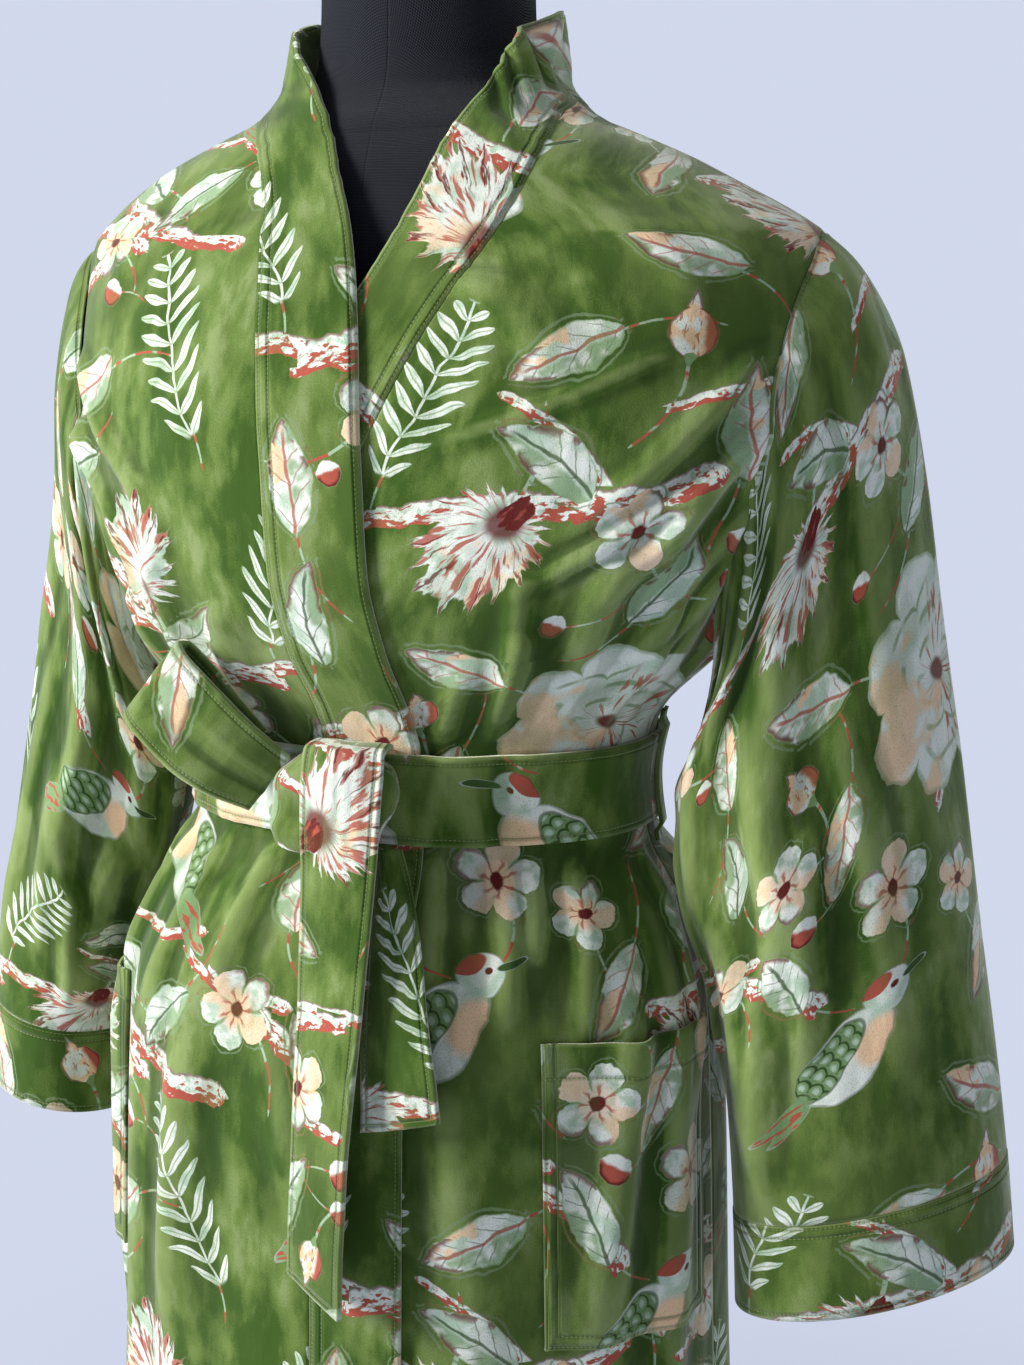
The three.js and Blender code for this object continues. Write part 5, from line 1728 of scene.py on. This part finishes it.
PANELS = {"front_left": (112, 60), "front_right": (112, 120), "back": (172, 270)}
for panel, (columns, grain) in PANELS.items():
    dress(make_panel(panel, columns, grain, PANEL_CUT[panel]), PANEL_VELVET, "velvet", panel)
for which in ("left", "right"):
    dress(make_neckband(which), BAND_VELVET, "velvet", f"neckband_{which}")
    dress(make_tube(f"sleeve_{which}", which, 0, 1, 126, CLOTH), SLEEVE_VELVET, "velvet", f"sleeve_{which}")
    dress(make_tube(f"cuff_{which}", which, 1, 1.1, 12, BAND, SEAM), CUFF_VELVET, "velvet", f"cuff_{which}")
for name, panel, first, last in (("pocket_left", "front_left", 1, 7), ("pocket_right", "front_right", 7, 13)):
    dress(make_pocket(name, panel, first, last, 15), POCKET_VELVET, "velvet", name)
dress(make_belt(), BELT_VELVET, "velvet", "belt")
for name, tab, rows in (("belt_end_long", LONG_END, 110), ("belt_end_short", SHORT_END, 60)):
    dress(make_belt_end(name, tab, rows), BELT_VELVET, "velvet", name)
dress(make_bow(), BELT_VELVET, "velvet", "belt_bow")
dress(make_knot(), BELT_VELVET, "velvet", "belt_knot")
for name, angle in (("belt_loop_left", -6), ("belt_loop_right", 187)):
    dress(make_belt_loop(name, angle), BELT_VELVET, "velvet", name)
cover, cap, under = make_form()
dress(cover, JERSEY, "jersey", "form_torso", "form_neck_cap")
dress(cap, JERSEY, "jersey")
dress(under, JERSEY, "jersey")
for name in ("stand_base", "stand_collar", "stand_pole", "stand_socket"):
    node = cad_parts[name]
    node.data.materials.clear()
    node.data.materials.append(STEEL)

RESTS = {
    "front_left": ("hung", ["form_cover"]),
    "front_right": ("hung", ["form_cover", "front_left"]),
    "back": ("hung", ["form_cover"]),
    "neckband_left": ("hung", ["form_cover"]),
    "neckband_right": ("hung", ["form_cover", "neckband_left"]),
    "sleeve_left": ("hung", ["front_left", "back"]),
    "sleeve_right": ("hung", ["front_right", "back"]),
    "cuff_left": ("hung", ["sleeve_left"]),
    "cuff_right": ("hung", ["sleeve_right"]),
    "pocket_left": ("hung", ["front_left"]),
    "pocket_right": ("hung", ["front_right"]),
    "belt": ("stretched", ["front_left", "front_right", "back"]),
    "belt_end_long": ("hung", ["belt_knot"]),
    "belt_end_short": ("hung", ["belt_knot"]),
    "belt_bow": ("folded", ["belt_knot"]),
    "belt_knot": ("folded", ["belt"]),
    "belt_loop_left": ("hung", ["belt"]),
    "belt_loop_right": ("hung", ["belt"]),
    "form_cover": ("stretched", ["form_torso"]),
}
for name, (held, under_it) in RESTS.items():
    piece = PIECES[name]
    width, length = piece["flat"]
    share = min(piece["area"], width * length)
    max(share, 0.31 * width * length)

# Camera, floor and light
# The camera's turn round the robe and its pitch, and its place in metres
AZIMUTH, PITCH, AWAY, EYE, ASIDE = 22, 10.5, 1.230, 1.280, 0.050
# The lens, from its focal length and the picture's height in the photograph's pixels
SENSOR, FOCAL_PIXELS, PICTURE_PIXELS = 36, 2040, 1365
right = Vector((cos(AZIMUTH), sin(AZIMUTH), 0))
ahead = Vector((-sin(AZIMUTH), cos(AZIMUTH), 0))
look_along = ahead * float(cos(PITCH)) - Vector((0, 0, 1)) * float(sin(PITCH))
camera = bpy.data.objects.new("camera", bpy.data.cameras.new("camera"))
bpy.context.collection.objects.link(camera)
camera.location = -ahead * AWAY + right * ASIDE + Vector((0, 0, EYE))
camera.rotation_euler = look_along.to_track_quat("-Z", "Y").to_euler()
camera.data.lens = SENSOR * FOCAL_PIXELS / PICTURE_PIXELS
bpy.context.scene.camera = camera

PALE = linear(209, 216, 236)  # the pale room all round, which the floor runs into
ROOM_LIGHT = 0.2  # how strongly the room lights the robe


def pale_floor():
    """A matt pale floor that passes into the colour of the room some way off."""
    material, tree, shader = new_material("pale floor")
    place = Value(tree, tree.nodes.new("ShaderNodeTexCoord").outputs["Object"])
    cloudy = noise(tree, place, 1.3, 2.0)
    shader.inputs["Roughness"].default_value = 0.9
    shader.inputs["Specular IOR Level"].default_value = 0.1
    plug(tree, mixed(tree, PALE, tuple(0.96 * c for c in PALE), cloudy), shader.inputs["Base Color"])
    east, north, _ = parts_of(tree, place)
    away = length_of(east, north)
    room = tree.nodes.new("ShaderNodeEmission")
    room.inputs["Color"].default_value = (*PALE, 1)
    both = tree.nodes.new("ShaderNodeMixShader")
    plug(tree, away.over(0.35, 1.6), both.inputs[0])
    tree.links.new(shader.outputs[0], both.inputs[1])
    tree.links.new(room.outputs[0], both.inputs[2])
    tree.links.new(both.outputs[0], tree.nodes["Material Output"].inputs["Surface"])
    return material


bpy.ops.mesh.primitive_plane_add(size=300)
floor = bpy.context.object
floor.name = "floor"
floor.data.materials.append(pale_floor())

bpy.context.scene.view_settings.view_transform = "Standard"
world = bpy.data.worlds.new("pale room")
bpy.context.scene.world = world
world.use_nodes = True
sky = world.node_tree
seen = sky.nodes.new("ShaderNodeLightPath")
strength = sky.nodes.new("ShaderNodeMix")
strength.inputs["A"].default_value = ROOM_LIGHT
strength.inputs["B"].default_value = 1.0  # so that the room itself is seen in its own colour
sky.links.new(seen.outputs["Is Camera Ray"], strength.inputs["Factor"])
sky.links.new(strength.outputs["Result"], sky.nodes["Background"].inputs["Strength"])
sky.nodes["Background"].inputs["Color"].default_value = (*PALE, 1)


def add_light(name, place, aim, size, watts, colour):
    lamp = bpy.data.lights.new(name, "AREA")
    lamp.size = size
    lamp.energy = watts
    lamp.color = colour
    obj = bpy.data.objects.new(name, lamp)
    bpy.context.collection.objects.link(obj)
    obj.location = place
    obj.rotation_euler = (Vector(aim) - Vector(place)).to_track_quat("-Z", "Y").to_euler()


add_light("window", (-2.3, -1.7, 2.1), (0, 0, 1.05), 1.0, 170, (1.0, 0.98, 0.97))
add_light("fill", (1.6, -2.8, 1.9), (0, 0, 1.0), 2.0, 6, (0.95, 0.97, 1.0))
add_light("top", (0.3, 0.9, 3.1), (0, 0, 1.1), 1.4, 17, (1, 1, 1))
